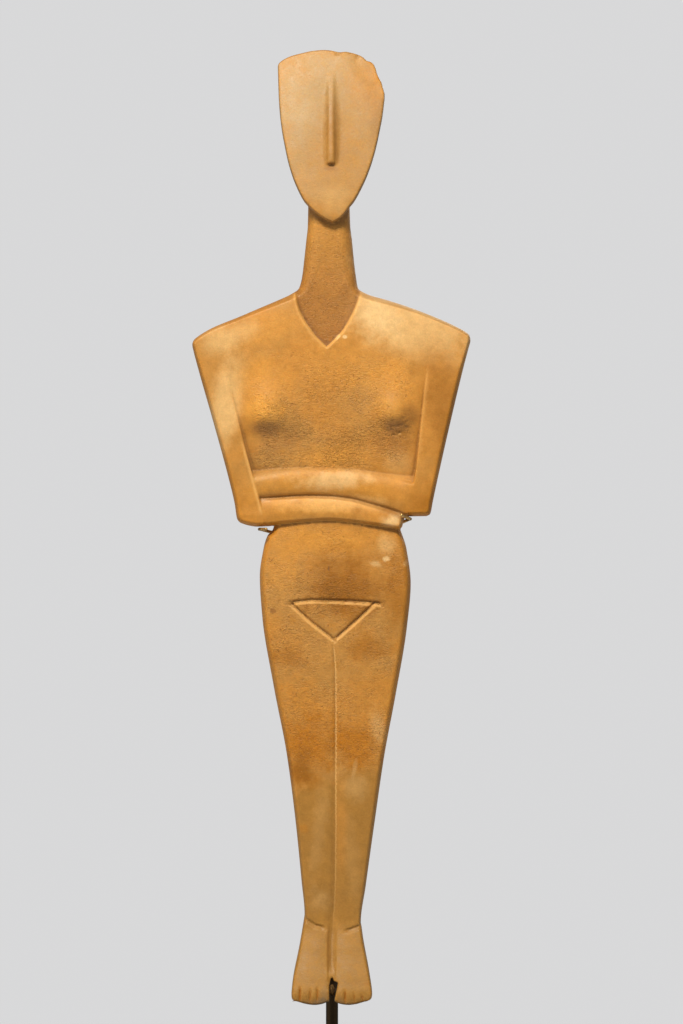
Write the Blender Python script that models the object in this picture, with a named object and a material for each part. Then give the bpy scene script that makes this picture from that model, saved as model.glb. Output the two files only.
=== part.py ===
"""Folded-arm marble figurine held upright on its display stand.

The figure is one carved stone. It faces -Y, and left and right are those of someone looking at
its face. The stand is a base block, an upright rod behind the figure, two bent wires that carry
the figure under its elbows, and a third that steadies it between the feet.
The origin is the middle of the base's underside. Sizes are in millimetres, made metres by MM.
"""

import math

import bmesh
import bpy
import numpy as np

MM = 0.001

# Stand
BASE_WIDTH = 130.0
BASE_DEPTH = 100.0
BASE_THICKNESS = 14.0
BASE_EDGE = 1.2
BASE_EDGE_STEPS = 3
ROD_DIAMETER = 5.0
ROD_SIDES = 24
ROD_EDGE = 0.4
ROD_EDGE_STEPS = 2
ROD_Y = 16.5
ROD_TOP = 194.0
SOCKET_DEPTH = 9.0
SOCKET_OVERSHOOT = 5.0
GAP = 0.3

# Wires: corners as (x, y, height above the toes), after the start on the rod
ELBOW_WIRE = 1.3
ELBOW_BEND = 2.0
ELBOW_START = 190.0
LEFT_ELBOW_PATH = (
    (-14.0, 15.0, 190.0), (-29.6, 10.5, 194.2), (-29.6, -9.6, 194.2), (-26.4, -12.8, 194.2),
)
RIGHT_ELBOW_PATH = (
    (14.0, 15.0, 190.5), (32.0, 10.5, 198.4), (32.0, -13.9, 198.4), (27.8, -15.3, 200.2),
)
FOOT_WIRE = 1.6
FOOT_BEND = 1.6
FOOT_WIRE_X = 0.1
FOOT_START = 5.0
FOOT_PATH = ((FOOT_WIRE_X, -15.6, FOOT_START), (FOOT_WIRE_X, -16.2, 9.0))
WIRE_BEND_STEP = 0.9
WIRE_ROUNDNESS = 2

# Finishes: colour, roughness, metallic
MARBLE = ((0.62, 0.38, 0.16), 0.5, 0.0)
BRASS = ((0.45, 0.29, 0.11), 0.38, 1.0)
PAINT = ((0.05, 0.05, 0.052), 0.55, 0.0)
SHARP_ANGLE = 35.0

# Figure: its heights are measured up from the tips of its toes
TOES_ABOVE_BASE = 30.0
TOE_LEVEL = BASE_THICKNESS + TOES_ABOVE_BASE
SECTION_POINTS = 32

# Feet, legs and hips: outline as (height, x), then side view as (height, y)
LEG_TOP = 208.0
LEG_LEFT = (
    (0.0, -14.3), (1.6, -16.1), (4.4, -16.7), (9.5, -16.1), (24.6, -13.2), (36.0, -11.3),
    (50.0, -12.4), (76.0, -15.0), (102.5, -18.5), (130.0, -23.8), (158.5, -28.5),
    (175.0, -29.5), (186.6, -28.0), (194.0, -24.4), (LEG_TOP, -23.0),
)
LEG_RIGHT = (
    (0.0, 14.3), (1.8, 16.1), (4.8, 16.6), (12.7, 15.4), (27.4, 12.7), (33.0, 11.9),
    (48.3, 13.8), (74.2, 17.4), (101.7, 21.4), (126.9, 26.1), (154.6, 30.7),
    (172.0, 32.2), (186.0, 30.5), (194.0, 28.0), (LEG_TOP, 24.0),
)
LEG_FRONT = (
    (0.0, -16.2), (4.0, -17.4), (10.0, -15.6), (22.0, -10.6), (35.0, -6.6), (50.0, -8.2),
    (88.0, -12.0), (120.0, -12.6), (160.0, -13.0), (190.0, -11.6), (LEG_TOP, -11.0),
)
LEG_BACK = (
    (0.0, -11.0), (4.0, -8.6), (10.0, -2.8), (17.0, 3.6), (24.0, 7.4), (36.0, 7.8),
    (65.0, 10.0), (88.0, 8.4), (120.0, 10.2), (158.0, 12.2), (190.0, 8.8), (LEG_TOP, 8.0),
)
LEG_SQUARENESS = ((0.0, 3.2), (36.0, 2.3), (90.0, 2.4), (170.0, 2.8), (LEG_TOP, 3.0))
LEG_RINGS = (0.0, 0.7, 1.6, 2.9, 4.4, 6.5, 9.0, 12.0, 16.0, 20.5, 25.0, 29.5, 33.0, 36.0, 39.5)
LEG_RING_STEP = 5.2

# Chest, shoulders and neck, from the underside of the elbows up, one row for each station:
# left height, left x, right height, right x, front y, back y, squareness of the section
CHEST = (
    (195.4, -29.0, 199.6, 31.5, -8.6, 6.4, 3.0),
    (195.8, -35.4, 199.4, 37.5, -10.8, 8.0, 3.4),
    (197.4, -38.1, 201.2, 40.5, -11.4, 8.2, 3.6),
    (207.8, -40.4, 212.4, 43.0, -11.5, 8.4, 3.6),
    (228.8, -45.9, 225.0, 45.4, -11.9, 9.6, 3.4),
    (252.4, -52.7, 247.6, 50.4, -11.2, 10.6, 3.2),
    (266.0, -56.4, 266.0, 55.2, -10.4, 9.8, 3.0),
    (270.2, -57.2, 272.2, 56.8, -10.1, 9.5, 3.0),
    (275.2, -51.0, 276.3, 52.4, -9.8, 9.2, 2.9),
    (284.5, -29.8, 284.5, 32.6, -8.9, 8.6, 2.6),
    (289.2, -18.6, 289.2, 17.9, -8.2, 8.2, 2.4),
    (293.0, -13.9, 293.0, 10.9, -7.8, 8.0, 2.2),
    (300.0, -12.1, 300.0, 9.8, -7.4, 7.8, 2.1),
    (312.5, -10.8, 312.5, 8.0, -7.0, 7.8, 2.1),
    (332.0, -10.0, 332.0, 7.6, -5.0, 8.6, 2.1),
)
CHEST_RINGS = 36

# Head, one row for each station: height, left x, right x, front y, back y
HEAD = (
    (319.5, -1.0, 1.8, -11.6, -8.8),
    (320.7, -3.0, 3.0, -12.3, -5.6),
    (324.0, -6.8, 5.7, -12.4, 1.0),
    (328.4, -11.2, 9.1, -12.0, 7.0),
    (334.8, -14.7, 12.7, -10.9, 9.8),
    (343.0, -17.4, 15.6, -9.0, 11.0),
    (352.0, -19.5, 18.4, -6.8, 12.2),
    (364.0, -21.2, 20.8, -3.7, 13.0),
    (376.0, -22.0, 21.8, -0.4, 12.8),
    (384.2, -21.9, 21.4, 2.2, 12.2),
    (386.7, -18.3, 18.0, 3.4, 11.4),
    (388.8, -11.8, 11.4, 4.8, 10.4),
    (390.0, -4.0, 4.2, 6.4, 9.2),
)
HEAD_RINGS = 22
HEAD_POINTS = 24
HEAD_SQUARENESS = 3.0
CHIP = (
    (9.5, 389.0), (14.6, 385.4), (17.0, 384.1), (18.4, 380.4), (20.9, 374.9), (21.6, 370.5),
    (27.0, 370.5), (27.0, 395.0), (9.5, 395.0),
)
CUT_THROUGH = 30.0

# Nose, one row for each station: height, half width at the face, half width of the crest, rise
NOSE_X = -0.4
NOSE = (
    (380.0, 0.7, 0.4, 0.05),
    (371.0, 1.9, 0.8, 1.1),
    (358.0, 2.6, 1.0, 2.4),
    (344.8, 3.2, 1.1, 3.6),
    (343.2, 2.9, 0.9, 3.2),
)
NOSE_SUNK = 0.6
NOSE_ROOT = 2.0

# Folded forearms, one row for each station: x, bottom height, top height, front y
UPPER_FOREARM = (
    (-33.0, 210.0, 214.4, -11.2), (-30.5, 207.9, 216.0, -12.6), (-15.0, 208.4, 218.4, -13.7),
    (0.0, 208.2, 219.0, -14.2), (12.0, 206.8, 217.4, -14.3), (24.0, 202.8, 214.8, -14.1),
    (32.0, 200.8, 213.2, -12.9), (37.5, 201.8, 211.4, -9.9), (40.0, 203.8, 209.4, -6.0),
)
LOWER_FOREARM = (
    (-38.0, 199.6, 203.6, -5.0), (-35.5, 197.8, 205.2, -9.5), (-28.0, 195.7, 206.8, -12.9),
    (-15.0, 196.5, 208.2, -13.8),
    (0.0, 197.1, 208.6, -14.1), (12.0, 196.2, 207.2, -14.2), (21.0, 194.8, 203.8, -13.8),
    (26.5, 193.9, 200.6, -13.2), (29.6, 195.2, 198.4, -12.0),
)
FOREARM_BACK = 2.0
FOREARM_POINTS = 16
FOREARM_RINGS = 12
FOREARM_SQUARENESS = 2.6

BREASTS = ((-27.8, 238.0), (25.4, 238.0))
BREAST_RADIUS = 7.5
BREAST_RISE = 1.9
BREAST_DEPTH = 4 * BREAST_RISE
BREAST_SEGMENTS = 16
BREAST_RINGS = 10

# Carved lines, as the (x, height) points that they run through
LEG_CLEFT = ((0.6, 148.5), (0.7, 120.0), (0.6, 80.0), (0.2, 40.0))
FOOT_CLEFT = ((0.2, 42.0), (0.0, 30.0), (0.0, 9.0))
BACK_CLEFT = ((0.0, 176.0), (0.2, 150.0), (0.4, 100.0), (0.2, 50.0), (0.0, 12.0))
SPINE = ((-1.0, 262.0), (-0.6, 235.0), (0.0, 204.0))
LEFT_ARM_LINE = ((-43.0, 257.0), (-38.7, 242.1), (-35.6, 227.2), (-31.6, 212.5))
RIGHT_ARM_LINE = ((38.8, 260.0), (37.2, 246.2), (35.6, 233.5), (32.9, 214.5))
TRIANGLE_TOP = ((-16.8, 164.4), (-8.0, 165.2), (6.0, 165.2), (20.2, 163.8))
TRIANGLE_SIDES = ((-16.6, 163.8), (0.6, 148.5), (17.0, 164.2))
LEFT_ANKLE = ((-12.4, 36.8), (-7.9, 33.2), (-3.9, 31.2))
RIGHT_ANKLE = ((13.0, 33.9), (8.0, 31.0), (4.4, 30.3))
TOE_GAPS = (-12.9, -8.8, -5.9, 5.3, 9.4, 12.3)
TOE_GAP_HEIGHTS = (8.0, 0.9)

# Each carved line's name, path, width, depth, step between sections, and whether it is behind
CARVED_LINES = (
    ("leg_cleft", LEG_CLEFT, 1.4, 0.8, 14.0, False),
    ("foot_cleft", FOOT_CLEFT, 3.6, 1.8, 6.0, False),
    ("back_cleft", BACK_CLEFT, 2.4, 1.4, 14.0, True),
    ("spine", SPINE, 2.0, 0.9, 14.0, True),
    ("triangle_top", TRIANGLE_TOP, 1.2, 0.7, 6.0, False),
    ("triangle_sides", TRIANGLE_SIDES, 1.2, 0.7, 6.0, False),
    ("left_ankle", LEFT_ANKLE, 1.4, 0.8, 3.0, False),
    ("right_ankle", RIGHT_ANKLE, 1.4, 0.8, 3.0, False),
    ("left_arm_line", LEFT_ARM_LINE, 1.8, 1.0, 9.0, False),
    ("left_arm_line_behind", LEFT_ARM_LINE, 1.8, 0.8, 9.0, True),
    ("right_arm_line", RIGHT_ARM_LINE, 1.8, 1.0, 9.0, False),
    ("right_arm_line_behind", RIGHT_ARM_LINE, 1.8, 0.8, 9.0, True),
)
TOE_GAP_WIDTH = 0.9
TOE_GAP_DEPTH = 0.9
TOE_GAP_STEP = 4.0
LINE_END_SHARE = 0.35
CUTTER_CLEARANCE = 2.0

# Neck below the chin, cut back from the chest in a V: height, left x, right x
NECKLINE = (
    (297.5, -13.6, 11.6), (290.0, -14.2, 11.6), (281.0, -12.3, 8.9), (274.6, -8.6, 4.8),
    (268.0, -2.5, -1.6),
)
NECKLINE_DEPTH = 1.0
NECKLINE_TOP_DEPTH = -0.1
NECKLINE_CLEARANCE = 8.0

FOOT_GAP = ((-1.3, -2.0), (1.3, -2.0), (1.5, 8.4), (0.7, 10.4), (-0.5, 10.9), (-1.2, 8.0))

# How finely the plain body is searched for its face, and how far out towards its outline
SEARCH_STATIONS = 400
OUTERMOST = 0.98


def smooth_curve(knots, at):
    """Values at the places `at` of a smooth curve through (place, value) knots that never overshoots."""
    place, value = np.array(knots, float).T
    gap = np.diff(place)
    slope = np.diff(value) / gap
    before, after = slope[:-1], slope[1:]
    same_way = before * after > 0
    tangent = np.append(np.append(slope[0], np.zeros(len(before))), slope[-1])
    tangent[1:-1][same_way] = 2 * (before * after)[same_way] / (before + after)[same_way]
    i = np.clip(np.searchsorted(place, at, side="right") - 1, 0, len(gap) - 1)
    s = (at - place[i]) / gap[i]
    rise = s * s * (3 - 2 * s)
    leave = gap[i] * tangent[i] * s * (1 - s) ** 2
    arrive = gap[i] * tangent[i + 1] * s * s * (s - 1)
    return value[i] * (1 - rise) + value[i + 1] * rise + leave + arrive


def columns(table, at):
    """Smooth values of every column of a table of rows, at places counted in rows."""
    rows = np.array(table, float)
    return [smooth_curve(list(enumerate(column)), at) for column in rows.T]


def even_places(table, count):
    """Places in a table of rows, counted in rows, that are evenly spaced along its outline."""
    rows = np.array(table, float)
    lengths = np.linalg.norm(np.diff(rows[:, :2], axis=0), axis=1)
    travelled = np.append(0, np.cumsum(lengths))
    return np.interp(np.linspace(0, travelled[-1], count), travelled, np.arange(len(rows)))


def squared_circle(count, squareness):
    """Points (u, v) of a circle of radius 1 that is squarer the higher squareness is above 2."""
    angle = 2 * math.pi * np.arange(count) / count
    across, deep = np.cos(angle), np.sin(angle)
    power = 2 / squareness
    return np.sign(across) * abs(across) ** power, np.sign(deep) * abs(deep) ** power


def material(name, colour, roughness, metallic):
    made = bpy.data.materials.new(name)
    made.use_nodes = True
    made.diffuse_color = (*colour, 1)
    shader = made.node_tree.nodes["Principled BSDF"]
    shader.inputs["Base Color"].default_value = (*colour, 1)
    shader.inputs["Roughness"].default_value = roughness
    shader.inputs["Metallic"].default_value = metallic
    return made


def solid(name, points, faces, finish=None):
    """A new object from points in millimetres, smooth where it is round."""
    mesh = bpy.data.meshes.new(name)
    mesh.from_pydata((np.array(points) * MM).tolist(), [], faces)
    outward = bmesh.new()
    outward.from_mesh(mesh)
    bmesh.ops.recalc_face_normals(outward, faces=outward.faces)
    outward.to_mesh(mesh)
    outward.free()
    mesh.shade_smooth()
    mesh.set_sharp_from_angle(angle=math.radians(SHARP_ANGLE))
    if finish:
        mesh.materials.append(finish)
    made = bpy.data.objects.new(name, mesh)
    bpy.context.collection.objects.link(made)
    return made


def loft(name, rings, finish=None):
    """A solid through rings of as many points each, with flat ends."""
    rings = np.array(rings, float)
    count, around = rings.shape[:2]
    faces = [list(range(around)), list(range((count - 1) * around, count * around))]
    for ring in range(count - 1):
        for k in range(around):
            here = ring * around + k
            beside = ring * around + (k + 1) % around
            faces.append([here, beside, beside + around, here + around])
    return solid(name, rings.reshape(-1, 3), faces, finish)


def prism(name, outline, front, back):
    """A solid with an outline of (x, height) points, from y = front to y = back."""
    return loft(name, [[(x, y, z) for x, z in outline] for y in (front, back)])


def combine(target, tool, operation):
    """A live Boolean of target with tool, which stays in the file as a hidden guide."""
    modifier = target.modifiers.new(f"{operation.lower()} {tool.name}", "BOOLEAN")
    modifier.operation = operation
    modifier.object = tool
    tool.hide_render = True
    tool.display_type = "WIRE"


def leg_section(height):
    """Left x, right x, front y, back y and squareness of feet, legs and hips at a height."""
    curves = LEG_LEFT, LEG_RIGHT, LEG_FRONT, LEG_BACK, LEG_SQUARENESS
    return [smooth_curve(curve, np.asarray(height, float)) for curve in curves]


def legs():
    steps = int((LEG_TOP - LEG_RINGS[-1]) / LEG_RING_STEP)
    heights = np.append(LEG_RINGS, np.linspace(LEG_RINGS[-1], LEG_TOP, steps + 1)[1:])
    rings = []
    for z, left, right, front, back, squareness in zip(heights, *leg_section(heights)):
        u, v = squared_circle(SECTION_POINTS, squareness)
        x = (left + right) / 2 + (right - left) / 2 * u
        y = (front + back) / 2 + (back - front) / 2 * v
        rings.append(np.column_stack((x, y, np.full_like(x, z))))
    return rings


def chest():
    rings = []
    for left_z, left, right_z, right, front, back, squareness in zip(
        *columns(CHEST, even_places(CHEST, CHEST_RINGS))
    ):
        u, v = squared_circle(SECTION_POINTS, squareness)
        x = (left + right) / 2 + (right - left) / 2 * u
        y = (front + back) / 2 + (back - front) / 2 * v
        z = (left_z + right_z) / 2 + (right_z - left_z) / 2 * u
        rings.append(np.column_stack((x, y, z)))
    return rings


def head():
    rings = []
    for z, left, right, front, back in zip(*columns(HEAD, even_places(HEAD, HEAD_RINGS))):
        u, v = squared_circle(HEAD_POINTS, HEAD_SQUARENESS)
        x = (left + right) / 2 + (right - left) / 2 * u
        y = (front + back) / 2 + (back - front) / 2 * v
        rings.append(np.column_stack((x, y, np.full_like(x, z))))
    return rings


def forearm(table):
    rings = []
    for x, low, high, front in zip(*columns(table, even_places(table, FOREARM_RINGS))):
        u, v = squared_circle(FOREARM_POINTS, FOREARM_SQUARENESS)
        z = (low + high) / 2 + (high - low) / 2 * u
        y = (front + FOREARM_BACK) / 2 + (FOREARM_BACK - front) / 2 * v
        rings.append(np.column_stack((np.full_like(y, x), y, z)))
    return rings


def surface_y(x, height, back=False):
    """Where the face or the back of the plain body is at a place, before anything is carved."""
    if height < LEG_TOP - GAP:
        left, right, front, rear, squareness = leg_section(height)
    else:
        station = np.linspace(0, len(CHEST) - 1, SEARCH_STATIONS)
        left_z, left, right_z, right, front, rear, squareness = columns(CHEST, station)
        across = np.clip((x - left) / (right - left), 0, 1)
        at = np.argmin(abs(left_z + across * (right_z - left_z) - height))
        left, right, front, rear, squareness = (
            column[at] for column in (left, right, front, rear, squareness)
        )
    u = np.clip(abs(2 * x - left - right) / (right - left), 0, OUTERMOST)
    depth = (1 - u**squareness) ** (1 / squareness)
    return (front + rear) / 2 + (rear - front) / 2 * depth * (1 if back else -1)


def along(points, step):
    """Points about a step apart on straight runs between (x, height) points."""
    points = np.array(points, float)
    travelled = np.append(0, np.cumsum(np.linalg.norm(np.diff(points, axis=0), axis=1)))
    count = max(2, math.ceil(travelled[-1] / step) + 1)
    at = np.linspace(0, travelled[-1], count)
    return np.column_stack([np.interp(at, travelled, points[:, axis]) for axis in (0, 1)])


def groove(name, path, width, depth, step, back=False):
    """A V-shaped cutter that follows a line over the body, shallower at its two ends."""
    outward = 1.0 if back else -1.0
    points = along(path, step)
    heading = np.gradient(points, axis=0)
    heading /= np.linalg.norm(heading, axis=1)[:, None]
    rings = []
    for place, (x, z) in enumerate(points):
        deep = depth * (LINE_END_SHARE if place in (0, len(points) - 1) else 1.0)
        spread = width / 2 * (deep + CUTTER_CLEARANCE) / depth
        y = surface_y(x, z, back)
        away = y + outward * CUTTER_CLEARANCE
        side = heading[place][1] * spread, -heading[place][0] * spread
        rings.append(
            (
                (x - side[0], away, z - side[1]),
                (x + side[0], away, z + side[1]),
                (x, y - outward * deep, z),
            )
        )
    return loft(name, rings)


def nose():
    """A straight ridge down the face, flat along its crest and cut off square at its end."""
    table = np.array(HEAD, float)
    rings = []
    for z, base, crest, rise in NOSE:
        face = smooth_curve(table[:, [0, 3]], np.array(z))
        section = (
            (-base, NOSE_SUNK), (-crest, -rise), (crest, -rise), (base, NOSE_SUNK), (0, NOSE_ROOT),
        )
        rings.append([(NOSE_X + x, face + y, z) for x, y in section])
    return loft("nose", rings)


def neckline(back=False):
    """A V-shaped pocket where the neck meets the chest or the shoulders behind."""
    outward = 1.0 if back else -1.0
    rings = []
    for z, left, right in NECKLINE:
        depth = NECKLINE_TOP_DEPTH if z == NECKLINE[0][0] else NECKLINE_DEPTH
        floor = surface_y((left + right) / 2, z, back) - outward * depth
        away = floor + outward * NECKLINE_CLEARANCE
        rings.append([(left, away, z), (right, away, z), (right, floor, z), (left, floor, z)])
    return loft("back_neckline" if back else "neckline", rings)


def breast(number, x, z):
    ball = bmesh.new()
    bmesh.ops.create_uvsphere(
        ball, u_segments=BREAST_SEGMENTS, v_segments=BREAST_RINGS, radius=1
    )
    centre = np.array((x, surface_y(x, z) + BREAST_DEPTH - BREAST_RISE, z))
    size = np.array((BREAST_RADIUS, BREAST_DEPTH, BREAST_RADIUS))
    points = [np.array(vert.co) * size + centre for vert in ball.verts]
    faces = [[vert.index for vert in face.verts] for face in ball.faces]
    ball.free()
    return solid(f"breast_{number}", points, faces)


def figurine(finish):
    """The whole carved stone: rounded masses joined into one, then the lines and gaps cut in."""
    stone = loft("figurine", legs(), finish)
    masses = [loft("chest", chest()), loft("head", head()), nose()]
    masses += [loft("upper_forearm", forearm(UPPER_FOREARM))]
    masses += [loft("lower_forearm", forearm(LOWER_FOREARM))]
    masses += [breast(number, x, z) for number, (x, z) in enumerate(BREASTS)]
    cuts = [
        prism("crown_chip", CHIP, -CUT_THROUGH, CUT_THROUGH),
        prism("foot_gap", FOOT_GAP, -CUT_THROUGH, CUT_THROUGH),
        neckline(),
        neckline(back=True),
    ]
    cuts += [groove(*line) for line in CARVED_LINES]
    for number, x in enumerate(TOE_GAPS):
        line = [(x, z) for z in TOE_GAP_HEIGHTS]
        cuts.append(groove(f"toe_gap_{number}", line, TOE_GAP_WIDTH, TOE_GAP_DEPTH, TOE_GAP_STEP))
    for mass in masses:
        combine(stone, mass, "UNION")
    for cut in cuts:
        combine(stone, cut, "DIFFERENCE")
    stone.location.z = TOE_LEVEL * MM
    for guide in masses + cuts:
        guide.location.z = TOE_LEVEL * MM
    return stone


def upright_bar(name, radius, bottom, top, finish=None):
    """A round bar that stands where the rod does."""
    angle = 2 * math.pi * np.arange(ROD_SIDES) / ROD_SIDES
    ring = np.column_stack((radius * np.cos(angle), ROD_Y + radius * np.sin(angle)))
    return loft(name, [[(*point, z) for point in ring] for z in (bottom, top)], finish)


def stand_base(finish):
    half_width, half_depth = BASE_WIDTH / 2, BASE_DEPTH / 2
    corners = ((-1, -1), (1, -1), (1, 1), (-1, 1))
    base = loft(
        "stand_base",
        [[(a * half_width, b * half_depth, z) for a, b in corners] for z in (0, BASE_THICKNESS)],
        finish,
    )
    bevel = base.modifiers.new("rounded edges", "BEVEL")
    bevel.width = BASE_EDGE * MM
    bevel.segments = BASE_EDGE_STEPS
    bevel.limit_method = "ANGLE"
    radius = ROD_DIAMETER / 2 + GAP
    floor = BASE_THICKNESS - SOCKET_DEPTH
    above = BASE_THICKNESS + SOCKET_OVERSHOOT
    combine(base, upright_bar("rod_socket", radius, floor, above), "DIFFERENCE")
    return base


def stand_rod(finish):
    bottom = BASE_THICKNESS - SOCKET_DEPTH + GAP
    rod = upright_bar("stand_rod", ROD_DIAMETER / 2, bottom, TOE_LEVEL + ROD_TOP, finish)
    bevel = rod.modifiers.new("softened ends", "BEVEL")
    bevel.width = ROD_EDGE * MM
    bevel.segments = ROD_EDGE_STEPS
    bevel.limit_method = "ANGLE"
    return rod


def rounded_path(corners, radius, step):
    """Points along straight runs through corners that are bent round at a radius, as wire is."""
    corners = [np.array(corner, float) for corner in corners]
    points = [corners[0]]
    for before, corner, after in zip(corners, corners[1:], corners[2:]):
        into, away = before - corner, after - corner
        into_length, away_length = np.linalg.norm(into), np.linalg.norm(away)
        into, away = into / into_length, away / away_length
        opening = math.acos(np.clip(into @ away, -1, 1))
        cut = min(radius / math.tan(opening / 2), 0.45 * into_length, 0.45 * away_length)
        start, end = corner + into * cut, corner + away * cut
        bend = (math.pi - opening) * cut * math.tan(opening / 2)
        for s in np.linspace(0, 1, max(2, math.ceil(bend / step)) + 1):
            points.append(start * (1 - s) ** 2 + corner * 2 * s * (1 - s) + end * s**2)
    points.append(corners[-1])
    return points


def wire(name, corners, diameter, bend_radius, finish):
    """A bent round wire with flat ends."""
    points = rounded_path(corners, bend_radius, WIRE_BEND_STEP)
    curve = bpy.data.curves.new(name, "CURVE")
    curve.dimensions = "3D"
    curve.bevel_depth = diameter / 2 * MM
    curve.bevel_resolution = WIRE_ROUNDNESS
    curve.use_fill_caps = True
    spline = curve.splines.new("POLY")
    spline.points.add(len(points) - 1)
    for point, place in zip(spline.points, points):
        point.co = (*(place * MM), 1)
    curve.materials.append(finish)
    made = bpy.data.objects.new(name, curve)
    made.location.z = TOE_LEVEL * MM
    bpy.context.collection.objects.link(made)
    return made


def claws(finish):
    """The wires, from beside the rod to their bent-in tips."""
    from_rod = ROD_DIAMETER / 2 + GAP
    for name, start_x, path in (
        ("elbow_claw_left", -from_rod, LEFT_ELBOW_PATH),
        ("elbow_claw_right", from_rod, RIGHT_ELBOW_PATH),
    ):
        corners = ((start_x, ROD_Y, ELBOW_START), *path)
        wire(name, corners, ELBOW_WIRE, ELBOW_BEND, finish)
    corners = ((FOOT_WIRE_X, ROD_Y - from_rod, FOOT_START), *FOOT_PATH)
    wire("foot_claw", corners, FOOT_WIRE, FOOT_BEND, finish)


def main():
    for left_over in list(bpy.data.objects):
        bpy.data.objects.remove(left_over)
    brass = material("dull brass", *BRASS)
    figurine(material("honey marble", *MARBLE))
    stand_base(material("dark grey paint", *PAINT))
    stand_rod(brass)
    claws(brass)


main()
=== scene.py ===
"""A folded-arm marble figurine, carried upright by three bent wires on a rod and a painted base.

The sections follow the object as it is put together: base, rod, wires, then the stone, and last
the floor, light and camera. It faces -Y. Everything that is a length is in metres, apart from the
carving itself, which is worked out in millimetres and in heights above the tips of the toes.
"""

import math

import bmesh
import bpy
import numpy as np
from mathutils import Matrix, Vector


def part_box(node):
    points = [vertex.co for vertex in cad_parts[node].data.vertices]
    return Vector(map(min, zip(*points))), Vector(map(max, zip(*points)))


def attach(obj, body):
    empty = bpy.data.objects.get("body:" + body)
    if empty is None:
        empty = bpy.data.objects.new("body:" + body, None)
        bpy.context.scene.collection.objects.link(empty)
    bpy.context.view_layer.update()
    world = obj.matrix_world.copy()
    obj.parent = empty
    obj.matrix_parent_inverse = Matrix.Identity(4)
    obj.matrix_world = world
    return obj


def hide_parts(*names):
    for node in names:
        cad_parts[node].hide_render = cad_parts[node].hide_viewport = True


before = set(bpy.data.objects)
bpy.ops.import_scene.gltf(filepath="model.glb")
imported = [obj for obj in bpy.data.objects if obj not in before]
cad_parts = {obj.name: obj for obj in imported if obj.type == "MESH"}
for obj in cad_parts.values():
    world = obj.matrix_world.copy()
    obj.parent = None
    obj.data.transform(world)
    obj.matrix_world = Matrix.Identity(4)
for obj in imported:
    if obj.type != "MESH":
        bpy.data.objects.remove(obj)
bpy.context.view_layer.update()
MM = 0.001


# ---------------------------------------------------------------------------------------------
# Base. A flat block of mild steel with its edges eased by a file, then primed and sprayed a matt
# dark grey. The paint has a fine orange peel, dust in it, and is thin where hands lift the block.

base_low, base_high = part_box("stand_base")
rod_low, rod_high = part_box("stand_rod")
BASE_EDGE = 1.2 * MM
BASE_EDGE_STEPS = 5
BASE_SHARP_ANGLE = 35
SOCKET_CLEARANCE = 0.1 * MM
SOCKET_SIDES = 64
DARK_PAINT = (0.034, 0.035, 0.038, 1)
RUBBED_PAINT = (0.15, 0.145, 0.14, 1)
PAINT_ROUGHNESS, RUBBED_ROUGHNESS = 0.58, 0.36
MOST_RUBBED = 0.8
SCUFF_SCALE, SCUFFS = 0.35, (0.46, 0.62)
PEEL_HEIGHT = 0.05
ON_BEVEL = 0.7
DUST = (0.36, 0.34, 0.31, 1)
SPECKS_FINER, DUST_SPECKS = 2.6, (0.5, 0.8)
DUST_CLOUD_SCALE, DUST_CLOUDS = 0.06, (0.35, 0.7)
DUST_ON_SIDES = 0.15


def feed(tree, sockets, inputs):
    """Gives each named socket a plain value, or links it to the socket that feeds it."""
    for name, value in inputs.items():
        if isinstance(value, bpy.types.NodeSocket):
            tree.links.new(value, sockets[name])
        else:
            sockets[name].default_value = value


def add_node(tree, kind, inputs=None, **settings):
    made = tree.nodes.new(kind)
    for name, value in settings.items():
        setattr(made, name, value)
    feed(tree, made.inputs, inputs or {})
    return made


def maths(tree, operation, *values, clamp=False):
    made = add_node(tree, "ShaderNodeMath", dict(enumerate(values)), operation=operation)
    made.use_clamp = clamp
    return made.outputs[0]


def product(tree, *values):
    result = values[0]
    for value in values[1:]:
        result = maths(tree, "MULTIPLY", result, value)
    return result


def mixed(tree, share, one, other, blend="MIX"):
    """Colour `one` with a share of colour `other` laid over it."""
    made = add_node(tree, "ShaderNodeMix", data_type="RGBA", blend_type=blend)
    sockets = {socket.identifier: socket for socket in made.inputs}
    feed(tree, sockets, {"Factor_Float": share, "A_Color": one, "B_Color": other})
    return next(s for s in made.outputs if s.identifier == "Result_Color")


def rising(tree, value, start, end, low=0.0, high=1.0):
    """Goes smoothly from low to high as the value goes from start to end."""
    inputs = {"Value": value, "From Min": start, "From Max": end, "To Min": low, "To Max": high}
    made = add_node(tree, "ShaderNodeMapRange", inputs, interpolation_type="SMOOTHSTEP")
    return made.outputs["Result"]


def noise(tree, place, scale, detail=2.0, roughness=0.5, distortion=0.0):
    """Cloudy values round 0.5. The scale is one over the size of a cloud."""
    inputs = {
        "Vector": place, "Scale": scale, "Detail": detail, "Roughness": roughness,
        "Distortion": distortion,
    }
    return add_node(tree, "ShaderNodeTexNoise", inputs).outputs["Fac"]


def millimetres(tree, above=0.0, stretch=(1, 1, 1)):
    """Places on the object in millimetres, with heights counted from a level, then stretched."""
    here = add_node(tree, "ShaderNodeTexCoord").outputs["Object"]
    inputs = {
        "Vector": here,
        "Location": (0, 0, -above * stretch[2]),
        "Scale": [s / MM for s in stretch],
    }
    return add_node(tree, "ShaderNodeMapping", inputs).outputs["Vector"]


def new_material(name, roughness=0.5, metallic=0.0):
    made = bpy.data.materials.new(name)
    made.use_nodes = True
    shader = made.node_tree.nodes["Principled BSDF"]
    shader.inputs["Roughness"].default_value = roughness
    shader.inputs["Metallic"].default_value = metallic
    return made, made.node_tree, shader


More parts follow.
